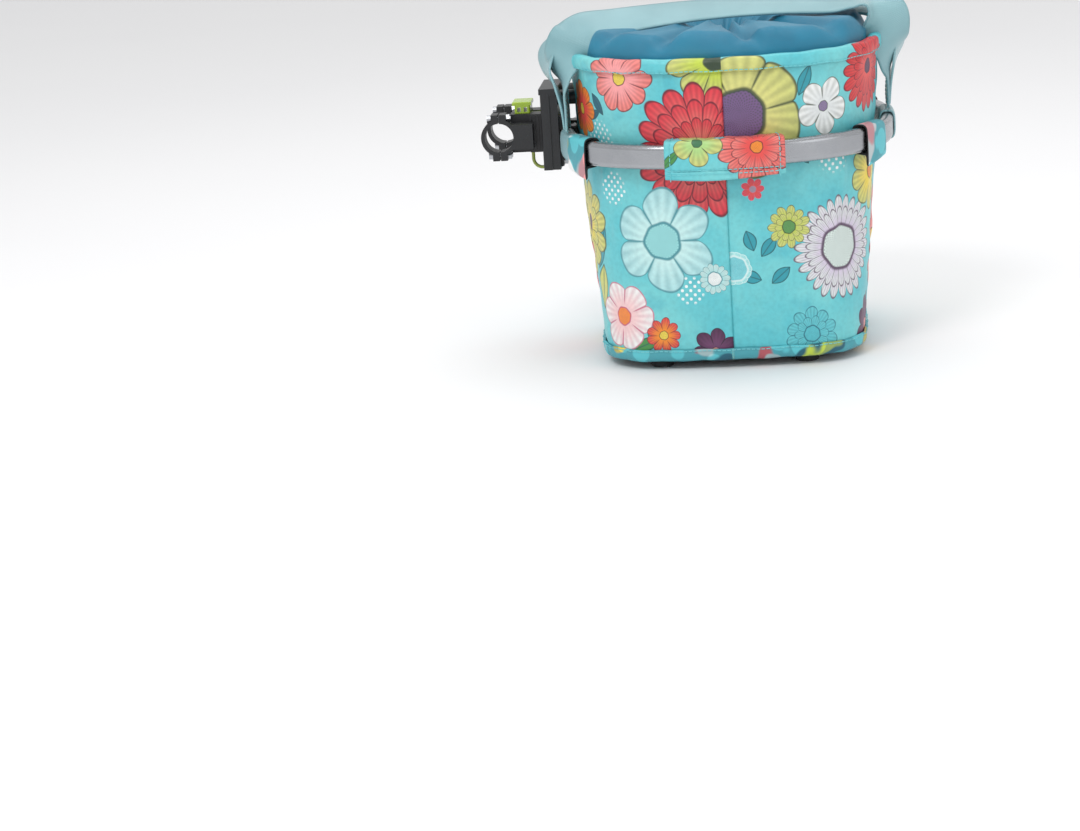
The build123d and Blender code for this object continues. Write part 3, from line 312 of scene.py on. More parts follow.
class Maker:
    """Builds one material: its helpers add nodes and return S values or colour sockets."""

    def __init__(self, name):
        self.material = bpy.data.materials.new(name)
        self.material.use_nodes = True
        self.tree = self.material.node_tree
        self.tree.nodes.clear()
        self.shader = self.node("ShaderNodeBsdfPrincipled")
        out = self.node("ShaderNodeOutputMaterial")
        self.link(self.shader.outputs[0], out.inputs[0])

    def node(self, kind, **values):
        made = self.tree.nodes.new(kind)
        for key, value in values.items():
            setattr(made, key, value)
        return made

    def link(self, a, b):
        self.tree.links.new(a, b)

    def place(self, uv=True):
        """The point being shaded, as (first, second, third, vector socket)."""
        if uv:
            vector = self.node("ShaderNodeUVMap", uv_map="print").outputs[0]
        else:
            vector = self.node("ShaderNodeTexCoord").outputs["Object"]
        split = self.node("ShaderNodeSeparateXYZ")
        self.link(vector, split.inputs[0])
        return (*[S(self.tree, split.outputs[k]) for k in range(3)], vector)

    def noise(self, vector, scale, detail=3.0, stretch=None):
        if stretch:
            scaled = self.node("ShaderNodeVectorMath", operation="MULTIPLY")
            self.link(vector, scaled.inputs[0])
            scaled.inputs[1].default_value = stretch
            vector = scaled.outputs[0]
        made = self.node("ShaderNodeTexNoise")
        self.link(vector, made.inputs["Vector"])
        made.inputs["Scale"].default_value = scale
        made.inputs["Detail"].default_value = detail
        return S(self.tree, made.outputs[0])

    def cells(self, vector, scale):
        made = self.node("ShaderNodeTexVoronoi")
        self.link(vector, made.inputs["Vector"])
        made.inputs["Scale"].default_value = scale
        return S(self.tree, made.outputs["Distance"])

    def mix(self, share, a, b):
        """Colour a where share is 0 and b where it is 1."""
        made = self.node("ShaderNodeMix", data_type="RGBA")
        for value, key in ((a, 6), (b, 7)):
            if isinstance(value, tuple):
                made.inputs[key].default_value = (*linear(value), 1)
            else:
                self.link(value, made.inputs[key])
        if isinstance(share, S):
            self.link(share.socket, made.inputs[0])
        else:
            made.inputs[0].default_value = share
        return made.outputs[2]

    def surface(self, colour=None, roughness=0.6, bump=None, strength=0.3, **constants):
        if colour is not None:
            if isinstance(colour, tuple):
                self.shader.inputs["Base Color"].default_value = (*linear(colour), 1)
            else:
                self.link(colour, self.shader.inputs["Base Color"])
        if isinstance(roughness, S):
            self.link(roughness.socket, self.shader.inputs["Roughness"])
        else:
            self.shader.inputs["Roughness"].default_value = roughness
        if bump is not None:
            made = self.node("ShaderNodeBump")
            made.inputs["Strength"].default_value = strength
            made.inputs["Distance"].default_value = 0.001
            self.link(bump.socket, made.inputs["Height"])
            self.link(made.outputs[0], self.shader.inputs["Normal"])
        for key, value in constants.items():
            self.shader.inputs[key.replace("_", " ")].default_value = value
        return self.material


def weave(maker, u, v, pitch):
    """The small over-and-under of a plain weave, from -1 to 1."""
    turn = 2 * pi / pitch
    return (u * turn).sin() * (v * turn).sin()


# %% [markdown]
# ## The flower print
# The canvas carries big loose flowers on turquoise. Each bloom is drawn in polar terms
# round its centre: the petal edge is a cosine of the angle, and darker lines run between
# the petals. A painted picture would be quicker, but a formula stays sharp at any distance and
# needs no file. The two halves of the bag have their own blooms, so the seam cuts them. Each
# half is split again, near and far, because one material can only hold so many nodes.

# %% Blooms
def bloom(m, under, u, v, at, radius, petals, outer, inner, heart, line, turn, depth, core, rings):
    """One flower over the colour under: its centre, its reach, its colours and its rows of petals."""
    du, dv = u - at[0], v - at[1]
    reach = (du * du + dv * dv).math("SQRT") / radius
    angle = dv.math("ARCTAN2", du)
    wobble = (angle * 3 + at[0] * 90).sin() * 0.03 + (angle * 7 + at[1] * 70).sin() * 0.025 + 1
    reach = reach * wobble
    for row, size in enumerate(rings):
        wave = ((angle + (turn + row * 2.2)) * (petals / 2)).math("COSINE").abs()
        ratio = reach / ((wave ** 0.6 * depth + (1 - depth)) * size)
        inside = 1 - ratio.over(0.975, 1.0)
        colour = m.mix(ratio.over(0.30, 1.0), inner, outer)
        streak = ((angle * (petals * 4) + row).sin() * 0.5 + 0.5) * ratio.over(0.2, 0.8)
        colour = m.mix(streak * 0.28, colour, line)
        gap = (1 - wave.over(0.0, 0.22)) * ratio.over(0.35, 0.6)
        colour = m.mix(gap * 0.9, colour, line)
        colour = m.mix(ratio.over(0.93, 0.97) * 0.85, colour, line)
        under = m.mix(inside, under, colour)
    grain = ((angle * 34).sin() * (reach * 90).sin()).over(0.0, 0.5)
    middle = m.mix(grain * 0.45, heart, line)
    under = m.mix(1 - reach.over(core * 0.93, core), under, middle)
    ring = reach.over(core * 0.88, core * 0.95) * (1 - reach.over(core, core * 1.12))
    return m.mix(ring * 0.9, under, line)


def leaf(m, under, u, v, at, long, wide, angle, colour, line):
    """A pointed leaf with a dark midrib."""
    du, dv = u - at[0], v - at[1]
    a = (du * cos(angle) + dv * sin(angle)) / long
    b = (dv * cos(angle) - du * sin(angle)) / wide
    shape = a * a + b.abs()
    shown = 1 - shape.over(0.94, 1.0)
    rib = (1 - b.abs().over(0.04, 0.12)) * 0.7
    return m.mix(shown, under, m.mix(rib, m.mix(shape.over(0.7, 0.95), colour, line), line))


def dots(m, under, u, v, at, reach, pitch, colour):
    """A patch of dots that fades out at its edge."""
    du, dv = u - at[0], v - at[1]
    near = 1 - ((du * du + dv * dv).math("SQRT") / reach).over(0.75, 1.0)
    spot = ((u * (2 * pi / pitch)).sin() * (v * (2 * pi / pitch)).sin()).over(0.35, 0.55)
    return m.mix(near * spot, under, colour)


CORAL, DEEP_RED, PINK = (226, 74, 70), (140, 22, 42), (244, 160, 160)
PLUM, LILAC, AQUA = (84, 34, 74), (214, 190, 226), (170, 222, 222)
WHITE, CREAM, ORANGE = (240, 242, 240), (246, 232, 190), (240, 140, 40)
LIME, YELLOW, GREEN = (190, 208, 70), (240, 214, 80), (70, 140, 70)
TEAL, DARK_TEAL, TURQUOISE = (40, 150, 165), (20, 92, 112), (88, 191, 201)

MANY, SOME, ONE = (1.0, 0.76, 0.50), (1.0, 0.66), (1.0,)  # how far each row of petals reaches
INK_RED, INK_PLUM, INK_GREEN, INK_TEAL = (70, 14, 34), (66, 28, 66), (44, 62, 40), (46, 130, 142)
PALE_CORAL, SAND, GREY_WHITE = (238, 128, 120), (206, 208, 122), (222, 226, 226)

# Each bloom: its place round the bag and up it, reach, petals, outer, inner, heart and line
# colours, turn, depth of the gaps, size of the heart, and rows of petals.
REAR_BLOOMS = [
    ((-0.004, 0.262), 0.040, 9, SAND, LIME, INK_GREEN, INK_GREEN, 0.2, 0.25, 0.24, ONE),
    ((-0.0195, 0.183), 0.060, 17, (222, 52, 66), PALE_CORAL, (150, 160, 90), INK_RED, 0.2, 0.20, 0.14, MANY),
    ((-0.058, 0.106), 0.047, 6, (176, 222, 224), (196, 232, 230), (150, 214, 214), INK_TEAL, 0.5, 0.34, 0.34, ONE),
    ((-0.100, 0.038), 0.031, 6, WHITE, (240, 200, 200), ORANGE, (190, 70, 110), 0.1, 0.22, 0.26, ONE),
    ((-0.062, 0.022), 0.016, 9, CORAL, ORANGE, YELLOW, INK_RED, 0.0, 0.3, 0.25, ONE),
    ((-0.016, 0.006), 0.022, 7, PLUM, (110, 60, 100), PINK, (40, 16, 40), 0.4, 0.3, 0.2, ONE),
    ((-0.014, 0.072), 0.014, 14, (200, 226, 222), AQUA, WHITE, INK_TEAL, 0.4, 0.2, 0.45, ONE),
    ((-0.088, 0.246), 0.030, 9, PALE_CORAL, PINK, YELLOW, INK_RED, 0.0, 0.2, 0.2, ONE),
    ((-0.150, 0.215), 0.026, 8, ORANGE, CORAL, YELLOW, INK_RED, 0.0, 0.25, 0.2, ONE),
    ((-0.162, 0.110), 0.044, 12, SAND, YELLOW, PLUM, INK_GREEN, 0.3, 0.2, 0.22, SOME),
    ((-0.205, 0.050), 0.046, 15, CORAL, PINK, PLUM, INK_RED, 0.2, 0.22, 0.16, MANY),
    ((-0.235, 0.205), 0.044, 8, SAND, LIME, PLUM, INK_GREEN, 0.1, 0.22, 0.2, ONE),
    ((-0.300, 0.120), 0.048, 6, AQUA, (206, 232, 230), (150, 214, 214), INK_TEAL, 0.6, 0.34, 0.3, ONE),
    ((-0.345, 0.205), 0.054, 17, CORAL, PALE_CORAL, LIME, INK_RED, 0.1, 0.2, 0.14, MANY),
    ((-0.370, 0.055), 0.038, 7, WHITE, LILAC, ORANGE, INK_PLUM, 0.0, 0.25, 0.22, ONE),
]
FRONT_BLOOMS = [
    ((0.0125, 0.212), 0.056, 7, SAND, (216, 214, 130), (112, 84, 130), INK_GREEN, 0.25, 0.14, 0.40, ONE),
    ((0.101, 0.091), 0.046, 26, GREY_WHITE, LILAC, (214, 228, 222), INK_PLUM, 0.1, 0.24, 0.42, (1.0, 0.78)),
    ((0.022, 0.149), 0.010, 7, (220, 60, 80), CORAL, (150, 150, 170), (226, 110, 130), 0.0, 0.35, 0.3, ONE),
    ((0.086, 0.214), 0.025, 5, WHITE, GREY_WHITE, (140, 120, 160), INK_GREEN, 0.2, 0.4, 0.18, ONE),
    ((0.146, 0.240), 0.040, 18, (216, 44, 50), CORAL, PLUM, INK_RED, 0.0, 0.24, 0.16, SOME),
    ((0.152, 0.148), 0.034, 9, SAND, YELLOW, ORANGE, INK_GREEN, 0.2, 0.25, 0.2, ONE),
    ((0.004, 0.080), 0.015, 14, (150, 216, 216), TURQUOISE, TURQUOISE, (214, 236, 234), 0.0, 0.05, 0.75, ONE),
    ((0.052, 0.114), 0.019, 11, SAND, LIME, (90, 150, 80), INK_GREEN, 0.3, 0.3, 0.3, SOME),
    ((0.070, 0.018), 0.024, 10, (100, 196, 204), TURQUOISE, TURQUOISE, DARK_TEAL, 0.3, 0.25, 0.3, SOME),
    ((0.150, 0.012), 0.030, 9, PLUM, (110, 60, 100), PINK, (40, 16, 40), 0.2, 0.3, 0.2, ONE),
    ((0.205, 0.080), 0.048, 15, CORAL, PINK, YELLOW, INK_RED, 0.2, 0.22, 0.16, MANY),
    ((0.240, 0.205), 0.044, 6, AQUA, WHITE, YELLOW, INK_TEAL, 0.1, 0.3, 0.2, ONE),
    ((0.300, 0.135), 0.052, 9, SAND, YELLOW, PLUM, INK_GREEN, 0.4, 0.2, 0.24, ONE),
    ((0.345, 0.050), 0.040, 22, GREY_WHITE, LILAC, SAND, INK_PLUM, 0.3, 0.24, 0.36, SOME),
    ((0.370, 0.205), 0.046, 15, CORAL, PINK, LIME, INK_RED, 0.3, 0.2, 0.16, MANY),
]
# Each leaf: its place, half length, half width, lean and colour.
REAR_LEAVES = [
    ((-0.078, 0.014), 0.016, 0.006, 0.4, GREEN), ((-0.072, 0.026), 0.013, 0.005, 1.5, (50, 150, 110)),
    ((-0.128, 0.095), 0.022, 0.007, 1.2, TEAL), ((-0.118, 0.222), 0.012, 0.005, -0.9, DARK_TEAL),
    ((-0.126, 0.212), 0.012, 0.004, 0.4, DARK_TEAL), ((-0.130, 0.060), 0.022, 0.008, 1.4, SAND),
    ((-0.255, 0.040), 0.030, 0.010, 0.8, GREEN), ((-0.290, 0.225), 0.030, 0.010, -0.4, TEAL),
]
FRONT_LEAVES = [
    ((0.018, 0.104), 0.010, 0.006, 1.9, TEAL), ((0.034, 0.098), 0.011, 0.006, 0.9, TEAL),
    ((0.018, 0.072), 0.010, 0.006, 2.8, TEAL), ((0.044, 0.072), 0.011, 0.006, 0.7, TEAL),
    ((0.062, 0.180), 0.017, 0.007, 2.2, DARK_TEAL), ((0.068, 0.238), 0.014, 0.006, 1.2, TEAL),
    ((0.250, 0.055), 0.030, 0.010, 0.8, GREEN), ((0.214, 0.160), 0.028, 0.010, 1.4, DARK_TEAL),
]


CANVAS_YARN = 0.0011  # from one thread of the canvas to the next
LACE_PITCH = 0.0075


def canvas_print(name, blooms, leaves, lace):
    """Coated canvas with its print: patches of lace dots, then leaves, then blooms on top."""
    m = Maker(name)
    u, v, _, vector = m.place()
    tone = m.noise(vector, 14.0, 4.0)
    colour = m.mix(tone.over(0.35, 0.7), TURQUOISE, (120, 206, 208))
    colour = m.mix(m.noise(vector, 34.0, 2.0).over(0.56, 0.7) * 0.35, colour, (60, 166, 184))
    for at, reach in lace:
        colour = dots(m, colour, u, v, at, reach, LACE_PITCH, WHITE)
    for at, long, wide, angle, tint in leaves:
        colour = leaf(m, colour, u, v, at, long, wide, angle, tint, (24, 80, 84))
    for at, radius, *look in blooms:
        colour = bloom(m, colour, u, v, at, radius, *look)
    speck = m.noise(vector, 260.0, 1.0).over(0.3, 0.8)
    colour = m.mix(speck * 0.10, colour, (30, 60, 70))
    grain = weave(m, u, v, CANVAS_YARN)
    rough = m.noise(vector, 30.0) * 0.12 + 0.40
    return m.surface(colour, rough, grain * 0.12 + m.noise(vector, 55.0, 3.0) * 0.8, 0.22,
                     Coat_Weight=0.12, Coat_Roughness=0.35)


SPLIT = 0.178  # beyond this far from the near seam, the wall has its far print


def within(motifs, far):
    """The motifs that reach into the near or the far part of one half."""
    return [motif for motif in motifs
            if (abs(motif[0][0]) + motif[1] > SPLIT if far else abs(motif[0][0]) - motif[1] < SPLIT)]


REAR_LACE = [((-0.120, 0.190), 0.020), ((-0.105, 0.150), 0.016), ((-0.036, 0.062), 0.014)]
FRONT_LACE = [((0.096, 0.172), 0.018)]
REAR, FRONT = (REAR_BLOOMS, REAR_LEAVES), (FRONT_BLOOMS, FRONT_LEAVES)
CANVAS_LOOKS = [
    canvas_print(name, within(blooms, far), within(leaves, far), lace)
    for name, (blooms, leaves), far, lace in (
        ("print_front", FRONT, False, FRONT_LACE), ("print_rear", REAR, False, REAR_LACE),
        ("print_front_far", FRONT, True, []), ("print_rear_far", REAR, True, []))]
INSIDE = len(CANVAS_LOOKS)  # the slot of the cloth's black inner face


def share_print(piece):
    """Gives each face the part of the print that its place round the bag calls for."""
    layer = piece.data.uv_layers[0].data
    for face in piece.data.polygons:
        across = layer[face.loop_start].uv.x
        if face.material_index != INSIDE:
            face.material_index = (2 if abs(across) > SPLIT else 0) + (1 if face.center.x < 0 else 0)


print("four canvas prints:", len(REAR_BLOOMS) + len(FRONT_BLOOMS), "blooms")

# %% [markdown]
# ## The other materials
# Bindings, loops and sleeves were cut from other parts of the same cloth. In strips this narrow
# no flower can be made out, so patches of noise in the print's colours do the job. Webbing and
# lining are a plain weave with a little shade in the hollows.

# %% Trim, webbing and lining
def patchwork(name, tints, scale):
    """Printed cloth cut into narrow strips: broad patches of the print's colours."""
    m = Maker(name)
    u, v, _, vector = m.place()
    colour = TURQUOISE
    for step, (tint, low) in enumerate(tints):
        shift = m.node("ShaderNodeVectorMath", operation="ADD")
        m.link(vector, shift.inputs[0])
        shift.inputs[1].default_value = (3.1 * step + 0.7, 1.7 * step, 0)
        share = m.noise(shift.outputs[0], scale, 1.5).over(low, low + 0.03)
        colour = m.mix(share, colour, tint)
    edge = m.cells(vector, scale * 2.2).over(0.46, 0.52)
    colour = m.mix(edge * 0.45, colour, (30, 90, 110))
    yarn = weave(m, u, v, CANVAS_YARN)
    return m.surface(colour, 0.45, yarn, 0.2, Coat_Weight=0.1, Coat_Roughness=0.4)


BINDING_TINTS = [(YELLOW, 0.60), (DARK_TEAL, 0.62), (CORAL, 0.62), (LIME, 0.63), ((206, 226, 224), 0.62)]
binding_print = patchwork("binding_print", BINDING_TINTS, 22.0)
loop_print = patchwork("loop_print", [(WHITE, 0.55), (PINK, 0.58), (YELLOW, 0.64)], 30.0)
SLEEVE_BLOOMS = [
    ((0.026, 0.004), 0.032, 14, PALE_CORAL, CORAL, ORANGE, INK_RED, 0.2, 0.2, 0.16, SOME),
    ((-0.022, 0.010), 0.021, 5, SAND, (170, 210, 130), (60, 120, 80), INK_GREEN, 0.2, 0.42, 0.2, ONE),
]
sleeve_print = canvas_print("sleeve_print", SLEEVE_BLOOMS, [((-0.044, -0.004), 0.012, 0.004, 0.8, GREEN)],
                            [((-0.012, 0.016), 0.010)])


def woven(name, tint, shade, pitch, rough, sheen=0.0, folds=18.0):
    """Plain woven cloth or webbing in one tint, with shade in its hollows."""
    m = Maker(name)
    u, v, _, vector = m.place()
    yarn = weave(m, u, v, pitch)
    tone = m.noise(vector, folds, 3.0).over(0.3, 0.75)
    colour = m.mix(tone * 0.35, tint, shade)
    colour = m.mix(yarn.over(-0.8, 0.3) * -0.25 + 0.25, colour, shade)
    return m.surface(colour, rough, yarn * 0.5 + m.noise(vector, 70.0, 2.0) * 0.6, 0.25, Sheen_Weight=sheen)


webbing = woven("webbing", (142, 184, 190), (84, 130, 140), 0.0016, 0.30, 0.1)
lining_cloth = woven("lining_cloth", (22, 128, 160), (10, 66, 96), 0.0008, 0.45, 0.05)
black_cloth = woven("black_cloth", (26, 27, 30), (8, 8, 10), 0.0010, 0.7, 0.1)

# %% [markdown]
# ## Hard parts
# Moulded plastic, foam, rubber and metal have no texture coordinates, so their grain is read in
# object space. One function serves them all: a tint, its shade, the size of the grain and how
# rough it is. The tube's grain is squeezed in height, so it runs along the hoop as brushing does.

# %% Solid materials
def solid(name, tint, shade, scale, rough, spread=0.1, strength=0.15, stretch=None, **constants):
    """A hard material in object space: a tint clouded with its shade and a fine grain."""
    m = Maker(name)
    *_, vector = m.place(uv=False)
    cloud = m.noise(vector, scale * 0.08, 3.0).over(0.35, 0.75)
    grain = m.noise(vector, scale, 2.0, stretch)
    colour = m.mix(cloud * 0.5, tint, shade)
    return m.surface(colour, grain * spread + (rough - spread / 2), grain, strength, **constants)


black_plastic = solid("black_plastic", (30, 31, 34), (20, 21, 24), 900.0, 0.42)
lime_plastic = solid("lime_plastic", (160, 190, 44), (134, 168, 34), 300.0, 0.28, Coat_Weight=0.3)
# The safety cable is the button's lime plastic with painted shade: a darker, olive copy of the same material.
cable_cover = solid("cable_cover", (142, 156, 62), (104, 120, 44), 260.0, 0.25, Coat_Weight=0.3)
foam = solid("foam", (22, 23, 25), (12, 12, 14), 1600.0, 0.85, strength=0.5)
rubber = solid("rubber", (28, 28, 30), (18, 18, 20), 700.0, 0.7)
felt = solid("felt", (44, 46, 50), (28, 30, 34), 1200.0, 0.9, strength=0.4)
board_plastic = solid("board_plastic", (50, 52, 56), (36, 38, 42), 500.0, 0.55)
anodised = solid("anodised", (168, 170, 174), (150, 153, 158), 420.0, 0.26, 0.12, 0.08, (1, 1, 14), Metallic=1.0)
zinc = solid("zinc", (190, 192, 196), (150, 154, 160), 500.0, 0.34, 0.12, 0.1, Metallic=1.0)
wire = solid("wire", (150, 152, 158), (112, 114, 120), 500.0, 0.3, 0.12, 0.1, Metallic=1.0)
thread = solid("thread", (120, 204, 210), (90, 176, 186), 2000.0, 0.6)

CAD_LOOKS = {
    black_plastic: ["mount_plate", "hoop_saddles", "adapter_body", "clamp_cap_right", "clamp_cap_left",
                    "hoop_joiners"],
    anodised: ["hoop_front", "hoop_rear"],
    zinc: ["foot_rivets", "joiner_rivets", "saddle_screws", "saddle_nuts", "back_screws", "clamp_screws",
           "clamp_nuts", "latch"],
    wire: ["button_spring", "latch_spring"],
    lime_plastic: ["release_button"],
    cable_cover: ["safety_cable"],
    foam: ["grip_foam_right", "grip_foam_left"],
    rubber: ["rubber_feet"],
    felt: ["wall_stiffener"],
    board_plastic: ["base_board", "back_board", "bottom_panel"],
}
CAD_LOOKS[solid("lining_object", (58, 156, 182), (26, 84, 112), 900.0, 0.55)] = ["lining_bag"]
for look, names in CAD_LOOKS.items():
    for node_name in names:
        mesh = nodes[node_name].data
        mesh.materials.clear()
        mesh.materials.append(look)
print("CAD parts with a look:", sum(len(names) for names in CAD_LOOKS.values()))

# %% [markdown]
# ## Stitches
# Every hem has a run of stitches. They could be copied along a curve with an Array modifier,
# but that keeps count of copies, not of spacing. One Geometry Nodes tree lays stitches along
# any line of points: it spaces them evenly and puts a short six-sided thread at each place.
# The result is turned into plain mesh.

# %% Stitch tree
def stitch_tree():
    """Evenly spaced short threads along the edges of a mesh, as a node group."""
    tree = bpy.data.node_groups.new("stitch_run", "GeometryNodeTree")
    face = tree.interface
    face.new_socket("Geometry", in_out="INPUT", socket_type="NodeSocketGeometry")
    for title in ("Spacing", "Stitch length", "Thread radius"):
        face.new_socket(title, in_out="INPUT", socket_type="NodeSocketFloat")
    face.new_socket("Thread", in_out="INPUT", socket_type="NodeSocketMaterial")
    face.new_socket("Geometry", in_out="OUTPUT", socket_type="NodeSocketGeometry")

    def add(kind, **values):
        made = tree.nodes.new(kind)
        for key, value in values.items():
            setattr(made, key, value)
        return made

    link = tree.links.new
    enter, leave = add("NodeGroupInput"), add("NodeGroupOutput")
    curve = add("GeometryNodeMeshToCurve")
    spots = add("GeometryNodeCurveToPoints", mode="LENGTH")
    body = add("GeometryNodeMeshCylinder")
    laid = add("GeometryNodeInstanceOnPoints")
    paint = add("GeometryNodeSetMaterial")
    real = add("GeometryNodeRealizeInstances")
    body.inputs["Vertices"].default_value = 6
    link(enter.outputs["Geometry"], curve.inputs[0])
    link(curve.outputs[0], spots.inputs["Curve"])
    link(enter.outputs["Spacing"], spots.inputs["Length"])
    link(enter.outputs["Thread radius"], body.inputs["Radius"])
    link(enter.outputs["Stitch length"], body.inputs["Depth"])
    link(spots.outputs["Points"], laid.inputs["Points"])
    link(body.outputs["Mesh"], laid.inputs["Instance"])
    aim = add("FunctionNodeAlignEulerToVector", axis="Z")
    link(spots.outputs["Tangent"], aim.inputs["Vector"])
    link(aim.outputs[0], laid.inputs["Rotation"])
    link(laid.outputs[0], real.inputs[0])
    link(real.outputs[0], paint.inputs["Geometry"])
    link(enter.outputs["Thread"], paint.inputs["Material"])
    link(paint.outputs[0], leave.inputs[0])
    return tree


STITCHES = stitch_tree()
print("stitch tree:", len(STITCHES.nodes), "nodes")


def stitches(name, lines, spacing=0.0042, long=0.0030, radius=0.00038):
    """Stitch runs along lines of points, as one mesh piece."""
    verts, edges = [], []
    for line in lines:
        start = len(verts)
        verts += [tuple(p) for p in line]
        edges += [(start + k, start + k + 1) for k in range(len(line) - 1)]
    mesh = bpy.data.meshes.new(name)
    mesh.from_pydata(verts, edges, [])
    guide = bpy.data.objects.new(name + "_guide", mesh)
    bpy.context.scene.collection.objects.link(guide)
    run = guide.modifiers.new("stitch_run", "NODES")
    run.node_group = STITCHES
    settings = {"Spacing": spacing, "Stitch length": long, "Thread radius": radius, "Thread": thread}
    for item in STITCHES.interface.items_tree:
        if item.in_out == "INPUT" and item.name in settings:
            run[item.identifier] = settings[item.name]
    bpy.context.view_layer.update()
    made = bpy.data.meshes.new_from_object(guide.evaluated_get(bpy.context.evaluated_depsgraph_get()))
    bpy.data.objects.remove(guide)
    piece = bpy.data.objects.new(name, made)
    bpy.context.scene.collection.objects.link(piece)
    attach(piece, "basket")
    return piece


# %% [markdown]
# ## The canvas walls
# The walls follow the CAD plan and stand a little proud of it: they belly between the hoop
# and the base, crease under the hoop, and pucker beside the seam. A cloth simulation would find
# such folds by itself. This canvas is stiff and lies on a board, so its folds are shallow, and
# a few waves of the right length along the normals give them with less work.

# %% Canvas
ROWS, AROUND = 110, 480
WALL_LOW, WALL_HIGH = 0.0015, 0.2585


def wall_points(z_values, grow):
    """Rows of points round the bag, closed, at several heights."""
    rings = []
    for z in z_values:
        ring, _ = plan(z, grow, AROUND)
        rings.append(np.c_[ring, np.full(AROUND, z)])
    return np.array(rings)


z_rows = np.linspace(WALL_LOW, WALL_HIGH, ROWS)
wall = wall_points(z_rows, 0.0)
turn_at = np.arange(AROUND) / AROUND * 2 * pi
turn_grid, z_grid = np.meshgrid(turn_at, z_rows)


def ripple(seed, count, low, high, tall):
    """Soft creases: a sum of slanting waves that repeats round the bag."""
    maker = np.random.default_rng(seed)
    total = np.zeros_like(z_grid)
    for _ in range(count):
        times = maker.integers(low, high)
        slant = maker.uniform(-tall, tall) * z_grid
        total += np.sin(times * turn_grid + slant + maker.uniform(0, 2 * pi))
    return total / np.sqrt(count)


belly = bump(z_grid, 0.105, 0.075) * 0.0016
sag = ripple(3, 7, 5, 15, 70) * 0.00055
crumple = np.maximum(0, ripple(5, 9, 16, 44, 160)) ** 1.5 * 0.00050
near_low = bump(z_grid, 0.016, 0.020) * np.maximum(0, ripple(8, 5, 20, 40, 30)) * 0.00045
under_hoop = bump(z_grid, HOOP_Z - 0.020, 0.016) * np.maximum(0, ripple(9, 6, 14, 32, 90)) * 0.0011
from_seam = np.minimum(turn_grid, 2 * pi - turn_grid) * LENGTH / (2 * pi)
from_far = np.abs(turn_grid - pi) * LENGTH / (2 * pi)
seam_near = bump(np.minimum(from_seam, from_far), 0, 0.010)
pucker = seam_near * np.sin(z_grid * 2 * pi / 0.017 + np.sin(z_grid * 90)) * 0.00045
held = smooth_step(WALL_LOW, 0.012, z_grid) * (1 - smooth_step(0.246, 0.2575, z_grid))
hoop_band = 1 - 0.85 * bump(z_grid, HOOP_Z, 0.014)
lift = (belly + sag + crumple + near_low + under_hoop + pucker) * held * hoop_band
groove = bump(np.minimum(from_seam, from_far), 0, 0.0011) * 0.0009
lift = np.clip(lift, -0.0004, 0.0042) + 0.0004 * held * (1 - bump(z_grid, HOOP_Z, 0.012)) - groove
wall = wall + normals_of(wall, True) * lift[..., None]

z_texture = np.repeat(z_rows[:, None], AROUND + 1, axis=1)
u_texture = np.repeat((np.arange(AROUND + 1) / AROUND * LENGTH)[None], ROWS, axis=0)
half = AROUND // 2
front_grid = wall[:, :half + 1]
rear_grid = np.concatenate([wall[:, half:], wall[:, :1]], axis=1)
front_uv = np.stack([u_texture[:, :half + 1], z_texture[:, :half + 1]], axis=2)
rear_uv = np.stack([u_texture[:, half:] - LENGTH, z_texture[:, half:]], axis=2)
for title, grid, uv, node in (("canvas_front", front_grid, front_uv, "shell_front_half"),
                              ("canvas_rear", rear_grid, rear_uv, "shell_rear_half")):
    piece = cloth(title, grid, uv, 0.0012, [*CANVAS_LOOKS, black_cloth], inner=INSIDE)
    share_print(piece)
    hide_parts(node)
    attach(piece, "basket")

# %% [markdown]
# ## Bindings
# The top hem and the bottom binding are folded strips with a line of stitches along each. A
# bevelled curve would give an even tube. Here a folded profile is carried round the plan, so
# the strip has a flat face, a fold and a lip, and a slight wave where the thread pulls.

# %% Bindings
def binding(title, node, profile, looks, thick=0.0010):
    """A folded strip round the bag: profile is rows of (height, how far out)."""
    rows = []
    for z, out in profile:
        ring, _ = plan(min(max(z, -0.002), BAG_TOP), out, AROUND)
        wave = 0.00028 * np.sin(turn_at * 37 + z * 300) + 0.00022 * np.sin(turn_at * 71)
        share = 1 + wave / 0.13
        rows.append(np.c_[ring * share[:, None], np.full(AROUND, z) + 0.0003 * np.sin(turn_at * 23)])
    rows = np.array(rows)
    steps = np.hypot(*np.diff(np.array(profile), axis=0).T)
    run = profile[0][0] + np.r_[0, np.cumsum(steps)]
    way = np.arange(AROUND) / AROUND * LENGTH
    if len(looks) > 1:
        way = np.where(way > LENGTH / 2, way - LENGTH, way)
    uv = np.stack(np.meshgrid(way, run), axis=2)
    piece = cloth(title, rows, uv, thick, looks, closed=True)
    if len(looks) > 1:
        share_print(piece)
    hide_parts(node)
    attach(piece, "basket")
    return rows


hem = binding("hem_top", "top_hem_binding", [
    (0.2500, 0.0026), (0.2504, 0.0034), (0.2540, 0.0040), (0.2580, 0.0038), (0.2606, 0.0028), (0.2620, 0.0008),
    (0.2622, -0.0024), (0.2614, -0.0056), (0.2590, -0.0074), (0.2520, -0.0078)],
    CANVAS_LOOKS)
foot_binding = binding("binding_bottom", "bottom_binding", [
    (-0.0012, -0.0060), (-0.0016, -0.0020), (-0.0012, 0.0014), (0.0006, 0.0028), (0.0040, 0.0034),
    (0.0078, 0.0032), (0.0090, 0.0024), (0.0092, 0.0014)], [binding_print])
hem_low = hem[1] + normals_of(hem, True)[1] * 0.0004
foot_high = foot_binding[5] + normals_of(foot_binding, True)[5] * 0.0004
for title, ring in (("hem_stitches", hem_low + [0, 0, 0.0012]), ("binding_stitches", foot_high)):
    stitches(title, [np.concatenate([ring, ring[:1]])])
print("hem of", len(hem), "rows and bottom binding of", len(foot_binding))

